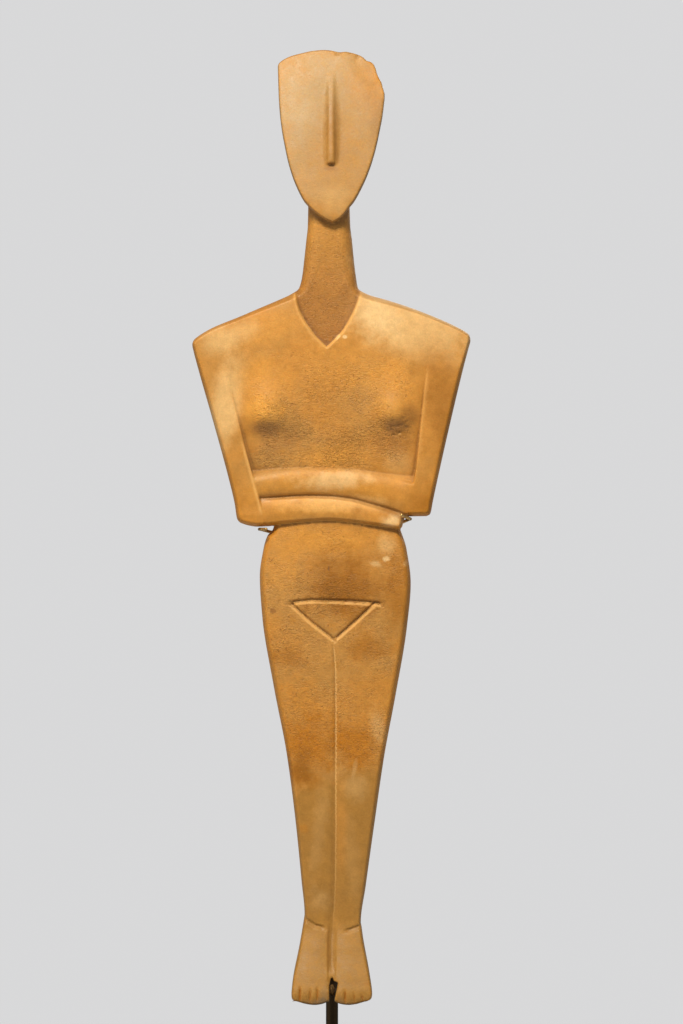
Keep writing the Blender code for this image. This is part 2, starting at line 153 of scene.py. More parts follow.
def new_effect(name, inputs, outputs):
    """An empty shader group with its named sockets. Returns it with its inside ends."""
    tree = bpy.data.node_groups.new(name, "ShaderNodeTree")
    for socket, kind, value in inputs:
        made = tree.interface.new_socket(socket, in_out="INPUT", socket_type="NodeSocket" + kind)
        if value is not None:
            made.default_value = value
    for socket, kind in outputs:
        tree.interface.new_socket(socket, in_out="OUTPUT", socket_type="NodeSocket" + kind)
    return tree, tree.nodes.new("NodeGroupInput").outputs, tree.nodes.new("NodeGroupOutput").inputs


def place_effect(tree, effect, inputs):
    """Puts a shader group in a material and feeds its inputs."""
    return add_node(tree, "ShaderNodeGroup", inputs, node_tree=effect).outputs


def raised(tree, height, distance, strength=1.0, normal=None):
    """A bump of a height map that is 0 to 1, with its distance in millimetres."""
    inputs = {"Height": height, "Distance": distance * MM, "Strength": strength}
    if normal is not None:
        inputs["Normal"] = normal
    return add_node(tree, "ShaderNodeBump", inputs).outputs["Normal"]


def marked(tree, name):
    """A value that the mesh carries, such as how worn each place is."""
    return add_node(tree, "ShaderNodeAttribute", attribute_name=name).outputs["Fac"]


def mesh_of(shape, name):
    mesh = bpy.data.meshes.new(name)
    shape.to_mesh(mesh)
    shape.free()
    return mesh


def smooth_between_edges(mesh, angle):
    """Shades a mesh smooth, apart from the edges that turn by more than an angle in degrees."""
    mesh.polygons.foreach_set("use_smooth", [True] * len(mesh.polygons))
    mesh.set_sharp_from_angle(angle=math.radians(angle))


def plain_mesh(obj):
    """The object's evaluated shape as a mesh of its own, in place of its modifiers."""
    graph = bpy.context.evaluated_depsgraph_get()
    mesh = bpy.data.meshes.new_from_object(obj.evaluated_get(graph))
    obj.modifiers.clear()
    obj.data = mesh
    return mesh


def new_piece(name, mesh):
    made = bpy.data.objects.new(name, mesh)
    bpy.context.collection.objects.link(made)
    return made


# Dust lies in specks, which gather in clouds. The peel is how high the paint stands.
dusty, dusty_in, dusty_out = new_effect(
    "dust and orange peel",
    (("Place", "Vector", None), ("Peel Size", "Float", 1.0), ("Dust Amount", "Float", 0.3)),
    (("Dust", "Float"), ("Peel", "Float")),
)
peel_scale = maths(dusty, "DIVIDE", 1.0, dusty_in["Peel Size"])
peel = noise(dusty, dusty_in["Place"], peel_scale, detail=1.0)
speck = noise(dusty, dusty_in["Place"], product(dusty, peel_scale, SPECKS_FINER), detail=3.0)
cloud = noise(dusty, dusty_in["Place"], DUST_CLOUD_SCALE, detail=4.0)
thick = product(
    dusty,
    rising(dusty, speck, *DUST_SPECKS),
    rising(dusty, cloud, *DUST_CLOUDS),
    dusty_in["Dust Amount"],
)
feed(dusty, dusty_out, {"Dust": thick, "Peel": peel})

paint, paint_tree, paint_shader = new_material("matt grey paint")
paint_place = millimetres(paint_tree)
paint_dust = place_effect(
    paint_tree, dusty, {"Place": paint_place, "Peel Size": 0.9, "Dust Amount": 0.55}
)
scuff = noise(paint_tree, paint_place, SCUFF_SCALE, detail=6.0, roughness=0.7)
scuffed = rising(paint_tree, scuff, *SCUFFS, high=MOST_RUBBED)
rubbed = product(paint_tree, marked(paint_tree, "eased edge"), scuffed)
paint_normal = add_node(paint_tree, "ShaderNodeNewGeometry").outputs["Normal"]
faces_up = add_node(paint_tree, "ShaderNodeSeparateXYZ", {"Vector": paint_normal}).outputs["Z"]
lies_on = maths(paint_tree, "MAXIMUM", faces_up, DUST_ON_SIDES)
settled = product(paint_tree, paint_dust["Dust"], lies_on)
paint_colour = mixed(paint_tree, rubbed, DARK_PAINT, RUBBED_PAINT)
feed(paint_tree, paint_shader.inputs, {
    "Base Color": mixed(paint_tree, settled, paint_colour, DUST),
    "Roughness": rising(
        paint_tree, rubbed, 0.0, MOST_RUBBED, PAINT_ROUGHNESS, RUBBED_ROUGHNESS
    ),
    "Normal": raised(paint_tree, paint_dust["Peel"], PEEL_HEIGHT),
})

base_shape = bmesh.new()
bmesh.ops.create_cube(base_shape, size=1)
bmesh.ops.scale(base_shape, vec=base_high - base_low, verts=base_shape.verts)
bmesh.ops.translate(base_shape, vec=(base_high + base_low) / 2, verts=base_shape.verts)
bmesh.ops.bevel(
    base_shape, geom=base_shape.edges, offset=BASE_EDGE, segments=BASE_EDGE_STEPS, profile=0.5,
    affect="EDGES", clamp_overlap=True,
)
painted_base = new_piece("painted_base", mesh_of(base_shape, "painted_base"))

socket_shape = bmesh.new()
socket_radius = (rod_high.x - rod_low.x) / 2 + SOCKET_CLEARANCE
bmesh.ops.create_cone(
    socket_shape, cap_ends=True, segments=SOCKET_SIDES, depth=base_high.z - base_low.z,
    radius1=socket_radius, radius2=socket_radius,
)
socket_middle = (rod_low + rod_high) / 2
socket_middle.z = rod_low.z + (base_high.z - base_low.z) / 2
bmesh.ops.translate(socket_shape, vec=socket_middle, verts=socket_shape.verts)
socket_cutter = new_piece("socket", mesh_of(socket_shape, "socket"))
drill = painted_base.modifiers.new("drilled", "BOOLEAN")
drill.object = socket_cutter
drill.operation = "DIFFERENCE"
drill.solver = "EXACT"
base_mesh = plain_mesh(painted_base)
bpy.data.objects.remove(socket_cutter)

# The bevel's own points lie near two faces or more, and show where hands rub the paint thin.
base_points = np.array([point.co for point in base_mesh.vertices])
from_faces = np.minimum(base_points - np.array(base_low), np.array(base_high) - base_points)
past_flat = from_faces < BASE_EDGE * ON_BEVEL
eased = base_mesh.attributes.new("eased edge", "FLOAT", "POINT")
eased.data.foreach_set("value", (past_flat.sum(axis=1) >= 2).astype(np.float32))
smooth_between_edges(base_mesh, BASE_SHARP_ANGLE)
base_mesh.materials.clear()
base_mesh.materials.append(paint)
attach(painted_base, "root")
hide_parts("stand_base")


# ---------------------------------------------------------------------------------------------
# Rod. Brass bar stood in the base and left to darken, with its top end rounded over on a lathe.
# It runs up close behind the legs to the height of the elbows.

ROD_SIDES = 48
ROD_CHAMFER = 0.9 * MM
ROD_ROUND_STEPS = 6
ROD_FOOT_EDGE = 0.3 * MM
ROD_SHARP_ANGLE = 40
DARK_BRASS = (0.115, 0.068, 0.028, 1)
BRIGHT_BRASS = (0.62, 0.42, 0.17, 1)
TARNISH = (0.052, 0.036, 0.022, 1)
BLOTCH_SCALE = 0.5
TARNISH_FROM, TARNISH_GROWS, TARNISH_EDGE = 0.8, 0.6, 0.16
TARNISH_ROUGHER = 0.22
DRAWN_STREAKS = (5, 5, 0.3)
SCRATCH_ROUGHER, SCRATCH_HEIGHT = 0.08, 0.02

# Darkening that spreads in blotches over clean metal, with the fine scratches of drawing.
tarnished, tarnished_in, tarnished_out = new_effect(
    "tarnish",
    (
        ("Place", "Vector", None), ("Clean Colour", "Color", BRIGHT_BRASS),
        ("Tarnish Colour", "Color", TARNISH), ("Amount", "Float", 0.5),
        ("Clean Roughness", "Float", 0.25), ("Tarnish Roughness", "Float", 0.5),
    ),
    (("Colour", "Color"), ("Roughness", "Float"), ("Scratches", "Float")),
)
blotch = noise(tarnished, tarnished_in["Place"], BLOTCH_SCALE, detail=5.0, roughness=0.65)
growth = product(tarnished, tarnished_in["Amount"], TARNISH_GROWS)
spread = maths(tarnished, "SUBTRACT", TARNISH_FROM, growth)
dulled = rising(tarnished, blotch, maths(tarnished, "SUBTRACT", spread, TARNISH_EDGE), spread)
along = add_node(
    tarnished, "ShaderNodeMapping", {"Vector": tarnished_in["Place"], "Scale": DRAWN_STREAKS}
).outputs["Vector"]
scratch = noise(tarnished, along, 1.0, detail=3.0)
duller = add_node(
    tarnished, "ShaderNodeMix",
    {0: dulled, 2: tarnished_in["Clean Roughness"], 3: tarnished_in["Tarnish Roughness"]},
).outputs[0]
feed(tarnished, tarnished_out, {
    "Colour": mixed(
        tarnished, dulled, tarnished_in["Clean Colour"], tarnished_in["Tarnish Colour"]
    ),
    "Roughness": maths(tarnished, "ADD", duller, product(tarnished, scratch, SCRATCH_ROUGHER)),
    "Scratches": scratch,
})


def brass(name, clean, stain, amount, roughness):
    """Brass with its own share of a darker tarnish over a clean colour."""
    made, tree, shader = new_material(name, metallic=1.0)
    metal = place_effect(tree, tarnished, {
        "Place": millimetres(tree), "Clean Colour": clean, "Tarnish Colour": stain,
        "Amount": amount, "Clean Roughness": roughness,
        "Tarnish Roughness": roughness + TARNISH_ROUGHER,
    })
    feed(tree, shader.inputs, {
        "Base Color": metal["Colour"],
        "Roughness": metal["Roughness"],
        "Normal": raised(tree, metal["Scratches"], SCRATCH_HEIGHT),
    })
    return made


dark_brass = brass("darkened brass", DARK_BRASS, TARNISH, amount=0.75, roughness=0.34)

rod_middle = (rod_low + rod_high) / 2
rod_radius = (rod_high.x - rod_low.x) / 2
rod_profile = [
    (rod_radius - ROD_FOOT_EDGE, rod_low.z), (rod_radius, rod_low.z + ROD_FOOT_EDGE),
]
for step in range(ROD_ROUND_STEPS + 1):
    turn = math.radians(90) * step / ROD_ROUND_STEPS
    rod_profile.append((
        rod_radius - ROD_CHAMFER * (1 - math.cos(turn)),
        rod_high.z - ROD_CHAMFER * (1 - math.sin(turn)),
    ))
turns = [2 * math.pi * side / ROD_SIDES for side in range(ROD_SIDES)]
rod_shape = bmesh.new()
rings = [
    [
        rod_shape.verts.new((
            rod_middle.x + radius * math.cos(turn), rod_middle.y + radius * math.sin(turn), height
        ))
        for turn in turns
    ]
    for radius, height in rod_profile
]
for lower, upper in zip(rings, rings[1:]):
    for side in range(ROD_SIDES):
        after = (side + 1) % ROD_SIDES
        rod_shape.faces.new((lower[side], lower[after], upper[after], upper[side]))
rod_shape.faces.new(rings[0][::-1])
rod_shape.faces.new(rings[-1])
rod_mesh = mesh_of(rod_shape, "stand_rod")
smooth_between_edges(rod_mesh, ROD_SHARP_ANGLE)
rod_mesh.materials.append(dark_brass)
brass_rod = new_piece("brass_rod", rod_mesh)
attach(brass_rod, "root")
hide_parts("stand_rod")


# ---------------------------------------------------------------------------------------------
# Claws. Three brass wires bent by hand round pliers and soldered to the rod. Two come round under
# the elbows and hook up over the stone, and one passes between the feet and turns up in front.

WIRE_SIDES = 16
WIRE_STEP = 0.2 * MM
BEND_STEPS = 10
BLUNT_TIP = 0.1
SOLDER_LENGTH = 2.2 * MM
SOLDER_FLARE = 1.9
INTO_ROD = 0.9 * MM
ELBOW_WIRE, ELBOW_BEND = 1.3 * MM, 2.4 * MM
ELBOW_SPREAD = 14.0 * MM
ELBOW_LEAVES, ELBOW_TURNS = 1.5 * MM, 6.0 * MM
FOOT_WIRE, FOOT_BEND = 1.6 * MM, 1.6 * MM
FOOT_TURNS = 0.6 * MM

HANDLED_BRASS = (0.66, 0.45, 0.19, 1)
DULL_AND_SHADED_BRASS = (0.27, 0.175, 0.075, 1)
rubbed_brass = brass("rubbed brass", HANDLED_BRASS, DULL_AND_SHADED_BRASS, amount=0.35, roughness=0.34)
# Painted shade: a darker copy of the brass for the foot wire, which sits in the shade of the feet.
shaded_brass = brass("brass darkened for shade", DULL_AND_SHADED_BRASS, DARK_BRASS, amount=0.5, roughness=0.38)


def bent_wire_tree():
    """A round wire along straight runs: eased bends, solder at its start, a filed round tip."""
    tree = bpy.data.node_groups.new("bent wire", "GeometryNodeTree")
    sockets = (
        ("Path", "Geometry"), ("Wire Thickness", "Float"), ("Bend Radius", "Float"),
        ("Solder Length", "Float"), ("Solder Flare", "Float"), ("Metal", "Material"),
    )
    for name, kind in sockets:
        tree.interface.new_socket(name, in_out="INPUT", socket_type="NodeSocket" + kind)
    tree.interface.new_socket("Wire", in_out="OUTPUT", socket_type="NodeSocketGeometry")
    given = tree.nodes.new("NodeGroupInput").outputs
    result = tree.nodes.new("NodeGroupOutput").inputs

    path = add_node(tree, "GeometryNodeMeshToCurve", {"Mesh": given["Path"]}).outputs["Curve"]
    bends = {
        "Curve": path, "Count": BEND_STEPS, "Radius": given["Bend Radius"], "Limit Radius": True,
    }
    eased_path = add_node(tree, "GeometryNodeFilletCurve", bends, mode="POLY").outputs["Curve"]
    steps = {"Curve": eased_path, "Length": WIRE_STEP}
    stepped = add_node(tree, "GeometryNodeResampleCurve", steps, mode="LENGTH").outputs["Curve"]

    gone = add_node(tree, "GeometryNodeSplineParameter").outputs["Length"]
    whole = add_node(tree, "GeometryNodeSplineLength").outputs["Length"]
    half = product(tree, given["Wire Thickness"], 0.5)
    flare = rising(tree, gone, given["Solder Length"], 0.0, 1.0, given["Solder Flare"])
    to_tip = maths(tree, "DIVIDE", maths(tree, "SUBTRACT", whole, gone), half, clamp=True)
    short = maths(tree, "SUBTRACT", 1.0, to_tip)
    roundness = maths(tree, "SQRT", maths(tree, "SUBTRACT", 1.0, product(tree, short, short)))
    tip = maths(tree, "MAXIMUM", roundness, BLUNT_TIP)
    size = product(tree, half, product(tree, flare, tip))

    circle = {"Resolution": WIRE_SIDES, "Radius": 1.0}
    profile = add_node(tree, "GeometryNodeCurvePrimitiveCircle", circle).outputs["Curve"]
    swept = {"Curve": stepped, "Profile Curve": profile, "Scale": size, "Fill Caps": True}
    wire = add_node(tree, "GeometryNodeCurveToMesh", swept).outputs["Mesh"]
    smooth = add_node(tree, "GeometryNodeSetShadeSmooth", {"Geometry": wire}).outputs["Geometry"]
    real = add_node(tree, "GeometryNodeRealizeInstances", {"Geometry": smooth}).outputs["Geometry"]
    coated = {"Geometry": real, "Material": given["Metal"]}
    finished = add_node(tree, "GeometryNodeSetMaterial", coated).outputs["Geometry"]
    tree.links.new(finished, result["Wire"])
    return tree


bent_wire = bent_wire_tree()


def make_claw(name, node, path, thickness, bend, metal):
    """Bends a wire along a path from the rod, and stands it in for the CAD node."""
    mesh = bpy.data.meshes.new(name)
    mesh.from_pydata(path, [(i, i + 1) for i in range(len(path) - 1)], [])
    claw = new_piece(name, mesh)
    maker = claw.modifiers.new("bent wire", "NODES")
    maker.node_group = bent_wire
    wanted = {
        "Wire Thickness": thickness, "Bend Radius": bend, "Solder Length": SOLDER_LENGTH,
        "Solder Flare": SOLDER_FLARE, "Metal": metal,
    }
    for socket in bent_wire.interface.items_tree:
        if socket.name in wanted:
            maker[socket.identifier] = wanted[socket.name]
    plain_mesh(claw)
    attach(claw, "root")
    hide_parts(node)


rod_x, rod_y = rod_middle.x, rod_middle.y
# Each elbow's side, its node and name, how far its start slopes up, how far the turned tip reaches
# in and back, and how far it climbs.
for side, node, name, slope, tip_in, tip_back, tip_up in (
    (-1, "elbow_claw_left", "elbow_wire_left", 0.0, 3.2 * MM, 3.2 * MM, 0.0),
    (1, "elbow_claw_right", "elbow_wire_right", 0.5 * MM, 4.2 * MM, 1.4 * MM, 1.8 * MM),
):
    low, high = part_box(node)
    half_wire = ELBOW_WIRE / 2
    start_z = low.z + half_wire
    hook_x = (low.x + half_wire) if side < 0 else (high.x - half_wire)
    tip_y = low.y + half_wire
    tip_z = high.z - half_wire
    hook_z = tip_z - tip_up
    path = (
        (rod_x + side * (rod_radius - INTO_ROD), rod_y, start_z),
        (side * ELBOW_SPREAD, rod_y - ELBOW_LEAVES, start_z + slope),
        (hook_x, rod_y - ELBOW_TURNS, hook_z),
        (hook_x, tip_y + tip_back, hook_z),
        (hook_x - side * tip_in, tip_y, tip_z),
    )
    make_claw(name, node, path, ELBOW_WIRE, ELBOW_BEND, rubbed_brass)

low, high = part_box("foot_claw")
half_wire = FOOT_WIRE / 2
foot_x = (low.x + high.x) / 2
path = (
    (foot_x, rod_y - rod_radius + INTO_ROD, low.z + half_wire),
    (foot_x, low.y + half_wire + FOOT_TURNS, low.z + half_wire),
    (foot_x, low.y + half_wire, high.z),
)
# The foot wire takes the darker brass that paints the shade of the feet.
make_claw("foot_wire", "foot_claw", path, FOOT_WIRE, FOOT_BEND, shaded_brass)


# ---------------------------------------------------------------------------------------------
# Figurine. One slab of honey-coloured marble, sawn out, carved with the arms folded under the
# breasts and rubbed down with emery. The lines are incised, the crown has lost a corner, and the
# surface has the pits, ripples and stains of long burial.

stone_low, stone_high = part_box("figurine")
TOE_LEVEL = stone_low.z / MM
STONE_CELL = 0.42
CARVING_CELL = 0.2
STONE_TRIANGLES = 192_000


def smooth_curve(knots, at):
    """Values at some places of a smooth curve through (place, value) knots, never overshooting."""
    place, value = np.array(knots, float).T
    at = np.clip(at, place[0], place[-1])
    gap = np.diff(place)
    slope = np.diff(value) / gap
    before, after = slope[:-1], slope[1:]
    same_way = before * after > 0
    tangent = np.append(np.append(slope[0], np.zeros(len(before))), slope[-1])
    tangent[1:-1][same_way] = 2 * (before * after)[same_way] / (before + after)[same_way]
    i = np.clip(np.searchsorted(place, at, side="right") - 1, 0, len(gap) - 1)
    s = (at - place[i]) / gap[i]
    rise = s * s * (3 - 2 * s)
    leave = gap[i] * tangent[i] * s * (1 - s) ** 2
    arrive = gap[i] * tangent[i + 1] * s * s * (s - 1)
    return value[i] * (1 - rise) + value[i + 1] * rise + leave + arrive


def ramp(t):
    """0 below 0, 1 above 1, and a smooth rise between."""
    t = np.clip(t, 0, 1)
    return t * t * (3 - 2 * t)


def soft_max(a, b, width):
    """The larger of two heights, with their crease rounded over a width."""
    return np.maximum(a, b) + np.maximum(width - abs(a - b), 0) ** 2 / (4 * width)


def soft_min(a, b, width):
    return -soft_max(-a, -b, width)


# The carving is worked out on a grid of places (x, height) in front of the stone.
SIDE_REACH = 61
UNDER_TOES, OVER_CROWN = -4, 395
LATTICE_SPAN = (400, 124)
across = np.arange(-SIDE_REACH, SIDE_REACH, CARVING_CELL)
up = np.arange(UNDER_TOES, OVER_CROWN, CARVING_CELL)
X, Z = np.meshgrid(across, up)


def above(height, fade):
    """0 below a height, and 1 from a fade above it."""
    return ramp((Z - height) / fade)


def below(height, fade):
    """0 above a height, and 1 from a fade under it."""
    return ramp((height - Z) / fade)


def blend(share, one, other):
    return one * (1 - share) + other * share


def by_height(knots):
    """A smooth curve of (height, value) knots, the same all the way across."""
    return smooth_curve(knots, up)[:, None]


def by_side(knots):
    """A smooth curve of (x, value) knots, the same all the way up."""
    return smooth_curve(knots, across)[None, :]


def uneven(size, seed):
    """Smooth random heights between -1 and 1 over the carving grid, with swellings of a size."""
    lattice_shape = tuple(int(span / size) + 3 for span in LATTICE_SPAN)
    lattice = np.random.default_rng(seed).uniform(-1, 1, lattice_shape)
    row, column = (Z - up[0]) / size, (X - across[0]) / size
    i, j = row.astype(int), column.astype(int)
    s, t = ramp(row - i), ramp(column - j)
    lower = blend(t, lattice[i, j], lattice[i, j + 1])
    upper = blend(t, lattice[i + 1, j], lattice[i + 1, j + 1])
    return blend(s, lower, upper)


def distance_to(lines, reach):
    """Distance from every place of the grid to the nearest of some polylines, up to a reach."""
    nearest = np.full(X.shape, reach)
    for line in lines:
        line = np.array(line, float)
        for (ax, az), (bx, bz) in zip(line[:-1], line[1:]):
            low = np.searchsorted(up, min(az, bz) - reach)
            high = np.searchsorted(up, max(az, bz) + reach)
            left = np.searchsorted(across, min(ax, bx) - reach)
            right = np.searchsorted(across, max(ax, bx) + reach)
            window = slice(low, high), slice(left, right)
            dx, dz = X[window] - ax, Z[window] - az
            run, rise = bx - ax, bz - az
            t = np.clip((dx * run + dz * rise) / (run * run + rise * rise), 0, 1)
            away = np.hypot(dx - t * run, dz - t * rise)
            nearest[window] = np.minimum(nearest[window], away)
    return nearest


EDGE_STEP, HEAD_EDGE_STEP, FINE_STEP = 0.6, 0.4, 0.1


def edge_line(knots, step=EDGE_STEP, along_x=False):
    """Points along a smooth edge given as (height, x) knots, or as (x, height) knots."""
    knots = np.array(knots, float)
    fine = np.arange(knots[0, 0], knots[-1, 0], FINE_STEP)
    value = smooth_curve(knots, fine)
    travelled = np.append(0, np.cumsum(np.hypot(np.diff(fine), np.diff(value))))
    at = np.linspace(0, travelled[-1], max(2, int(travelled[-1] / step)))
    picked = np.column_stack((np.interp(at, travelled, fine), np.interp(at, travelled, value)))
    return picked if along_x else picked[:, ::-1]


def depth_inside(lines, within, reach):
    """Distance in from an outline: positive within it and negative outside."""
    away = distance_to(lines, reach)
    return np.where(within, away, -away)


CUT_ENDS = 0.25


def carve(line, width, depth, fade=1.5):
    """Depth of a V-shaped cut along a polyline of (x, height), running out at both ends."""
    line = np.array(line, float)
    away = distance_to([line], width)
    ends = [np.hypot(X - x, Z - z) for x, z in (line[0], line[-1])]
    profile = np.clip(1 - away / (width / 2), 0, 1)
    return depth * profile * (CUT_ENDS + (1 - CUT_ENDS) * ramp(np.minimum(*ends) / fade))


def turned(knots):
    """Knots of (height, x) as points (x, height)."""
    return [(x, height) for height, x in knots]


# Feet, legs and belly: outline as (height, x), side view as (height, y).
LEG_TOP = 222.0
LEG_LEFT = (
    (0.0, -13.6), (1.4, -15.6), (4.4, -16.5), (9.5, -16.1), (24.6, -13.2), (35.2, -11.4),
    (36.6, -11.2), (50.0, -12.4), (76.0, -15.0), (102.5, -18.5), (130.0, -23.8), (158.5, -28.5),
    (175.0, -29.5), (186.6, -27.9), (191.4, -26.4), (194.4, -24.0), (200.0, -23.0),
    (LEG_TOP, -22.0),
)
LEG_RIGHT = (
    (0.0, 13.0), (1.4, 15.2), (4.8, 16.4), (12.7, 15.4), (27.4, 12.7), (31.8, 12.1),
    (33.4, 11.8), (48.3, 13.8), (74.2, 17.4), (101.7, 21.4), (126.9, 26.1), (154.6, 30.7),
    (172.0, 32.2), (186.0, 30.5), (194.0, 28.0), (200.0, 26.0), (LEG_TOP, 22.0),
)
LEG_FRONT = (
    (-3.0, -15.4), (0.0, -16.4), (4.0, -17.4), (10.0, -15.6), (22.0, -10.6), (35.0, -6.6),
    (50.0, -8.2), (88.0, -12.0), (120.0, -12.6), (160.0, -13.0), (190.0, -11.6), (LEG_TOP, -10.0),
)
LEG_BACK = (
    (-3.0, -11.0), (4.0, -8.6), (10.0, -2.8), (17.0, 3.6), (24.0, 7.4), (36.0, 7.8),
    (65.0, 10.0), (88.0, 8.4), (120.0, 10.2), (158.0, 12.2), (190.0, 8.8), (LEG_TOP, 7.0),
)
LEG_RIM = (
    (0.0, 0.8), (5.0, 0.9), (12.0, 0.9), (25.0, 1.0), (36.0, 1.3), (60.0, 1.7), (100.0, 2.3),
    (150.0, 2.8), (185.0, 2.8), (LEG_TOP, 2.8),
)
LEG_SQUARENESS = ((0.0, 2.4), (36.0, 2.3), (100.0, 2.3), (170.0, 2.4), (LEG_TOP, 2.6))
TOE_TIPS = (
    (-18.0, 4.2), (-15.5, 2.5), (-12.5, 1.4), (-9.5, 0.7), (-7.0, 0.5), (-4.5, 0.8), (-1.6, 1.8),
    (0.0, 2.4), (1.4, 1.7), (4.0, 0.8), (6.8, 0.5), (9.5, 0.8), (12.5, 1.6), (15.4, 2.6),
    (18.0, 4.3),
)

LEG_REACH, CHEST_REACH, HEAD_REACH = 14.0, 12.0, 8.0
OVER_EDGE = 1.1
TOES_TURN = 1.6
TOES_HALF = 14.0

leg_left, leg_right = by_height(LEG_LEFT), by_height(LEG_RIGHT)
toe_line = edge_line(TOE_TIPS, along_x=True)
leg_inside = depth_inside(
    (
        [place for place in edge_line(LEG_LEFT) if place[1] > TOES_TURN],
        [place for place in edge_line(LEG_RIGHT) if place[1] > TOES_TURN],
        toe_line[abs(toe_line[:, 0]) < TOES_HALF],
        turned((LEG_LEFT[-1], LEG_RIGHT[-1])),
    ),
    (X > leg_left) & (X < leg_right) & (Z > by_side(TOE_TIPS)) & (Z < LEG_TOP),
    LEG_REACH,
)

# Chest, arms and neck: outline as (height, x), lower edge as (x, height).
NECK_TOP = 334.0
CHEST_LEFT = (
    (195.2, -31.0), (195.5, -33.2), (196.2, -35.8), (197.0, -37.7), (198.6, -38.8), (204.3, -39.7),
    (215.7, -42.4), (238.7, -48.7), (261.6, -55.2), (267.0, -56.6), (269.7, -57.1), (271.4, -56.5),
    (273.0, -54.7), (276.3, -49.2), (281.2, -37.4), (284.5, -29.7), (287.7, -22.2), (290.2, -16.8),
    (292.6, -13.5), (297.5, -12.2), (304.9, -11.3), (312.3, -10.5), (318.0, -9.9), (NECK_TOP, -9.6),
)
CHEST_RIGHT = (
    (199.5, 38.6), (200.2, 40.0), (202.0, 40.6), (204.3, 41.0), (215.7, 43.4), (238.7, 48.6),
    (261.6, 54.1), (268.0, 55.8), (271.4, 56.6), (273.4, 56.2), (274.6, 54.9), (277.9, 48.8),
    (284.5, 32.7), (287.7, 22.9), (290.2, 14.6), (292.6, 10.7), (297.5, 9.8), (304.9, 8.9),
    (312.3, 8.2), (318.0, 7.5), (NECK_TOP, 7.0),
)
FOREARM_EDGE = (
    (-31.0, 195.2), (-27.0, 195.3), (-19.9, 196.1), (-7.4, 197.0), (-1.0, 197.3), (6.0, 196.8),
    (16.0, 195.6), (23.9, 194.5), (27.6, 193.9),
)
HAND_END = ((27.6, 193.9), (28.7, 195.2), (29.2, 197.4), (29.8, 199.0), (31.5, 199.4), (38.6, 199.5))
CHEST_FRONT = (
    (190.0, -11.4), (208.0, -11.5), (228.8, -11.9), (252.4, -11.4), (266.0, -10.9), (276.0, -10.3),
    (284.5, -9.5), (291.0, -8.7), (NECK_TOP, -8.0),
)
NECK_FRONT = (
    (266.0, -9.1), (275.0, -8.4), (284.5, -7.9), (293.0, -7.8), (302.0, -7.9), (312.5, -8.3),
    (322.0, -8.4), (NECK_TOP, -6.6),
)
CHEST_BACK = (
    (190.0, 6.4), (197.0, 8.2), (208.0, 8.4), (228.8, 9.6), (252.4, 10.6), (266.0, 9.9),
    (276.0, 9.2), (284.5, 8.6), (293.0, 8.0), (312.5, 7.8), (NECK_TOP, 8.6),
)
CHEST_RIM = (
    (193.0, 1.8), (197.0, 1.8), (201.0, 2.0), (206.0, 2.2), (255.0, 2.2), (268.0, 1.5),
    (280.0, 1.8), (287.0, 2.6), (293.0, 4.2), (302.0, 5.4), (322.0, 5.4), (NECK_TOP, 5.0),
)
CHEST_SQUARENESS = ((193.0, 2.2), (215.0, 2.3), (270.0, 2.3), (290.0, 2.2), (312.0, 2.1))

chest_left, chest_right = by_height(CHEST_LEFT), by_height(CHEST_RIGHT)
hand_end = np.array(HAND_END)
under_edge = np.where(
    across < HAND_END[0][0],
    smooth_curve(FOREARM_EDGE, across),
    np.interp(across, hand_end[:, 0], hand_end[:, 1]),
)[None, :]
chest_inside = depth_inside(
    (
        edge_line(CHEST_LEFT),
        edge_line(CHEST_RIGHT),
        edge_line(FOREARM_EDGE, along_x=True),
        HAND_END,
        turned((CHEST_LEFT[-1], CHEST_RIGHT[-1])),
    ),
    (X > chest_left) & (X < chest_right) & (Z > under_edge) & (Z < NECK_TOP),
    CHEST_REACH,
)

# Head: outline of the sides as (height, x), of the chipped crown as (x, height).
CHIN = 319.3
HEAD_LEFT = (
    (CHIN, 0.0), (320.1, -1.9), (321.4, -4.2), (323.2, -6.7), (325.4, -9.1), (327.8, -11.2),
    (331.1, -13.1), (337.6, -15.9), (344.2, -17.9), (350.7, -19.3), (357.3, -20.5), (363.8, -21.3),
    (371.0, -21.8), (380.2, -22.1), (383.8, -22.2), (385.0, -21.8),
)
HEAD_RIGHT = (
    (CHIN, 0.6), (320.1, 2.2), (321.4, 3.9), (323.2, 5.5), (325.4, 7.1), (327.8, 9.0),
    (331.1, 10.9), (337.6, 14.0), (344.2, 16.4), (350.7, 18.2), (357.3, 19.6), (363.8, 20.8),
    (370.3, 21.6),
)
CROWN = (
    (-21.8, 385.0), (-20.6, 386.1), (-17.2, 387.9), (-11.8, 389.4), (-8.1, 390.2), (-3.6, 390.6),
    (-0.4, 390.4), (1.8, 389.9), (3.4, 389.7), (5.5, 389.9), (8.6, 389.3), (11.3, 388.4),
    (13.0, 387.4), (14.3, 386.1), (15.8, 385.7), (17.1, 384.7),
)
CHIPPED_CORNER = (
    (17.1, 384.7), (17.9, 383.1), (18.5, 380.8), (19.3, 378.9), (20.3, 377.2), (21.0, 374.6),
    (21.6, 372.4), (21.6, 370.3),
)
HEAD_FRONT = (
    (CHIN, -11.9), (322.0, -12.4), (328.4, -12.0), (334.8, -10.9), (343.0, -9.0), (352.0, -6.8),
    (364.0, -3.7), (376.0, -0.4), (384.2, 2.1), (391.0, 4.4),
)
HEAD_BACK = (
    (CHIN, -6.0), (322.0, -3.0), (325.0, 2.6), (328.4, 7.0), (334.8, 9.8), (343.0, 11.0),
    (352.0, 12.2), (364.0, 13.0), (376.0, 12.8), (384.2, 12.2), (391.0, 11.6),
)
HEAD_RIM = (
    (CHIN, 0.6), (323.0, 0.6), (345.0, 0.5), (364.0, 0.5), (380.0, 0.5), (391.0, 0.5),
)
HEAD_SQUARENESS = 2.2

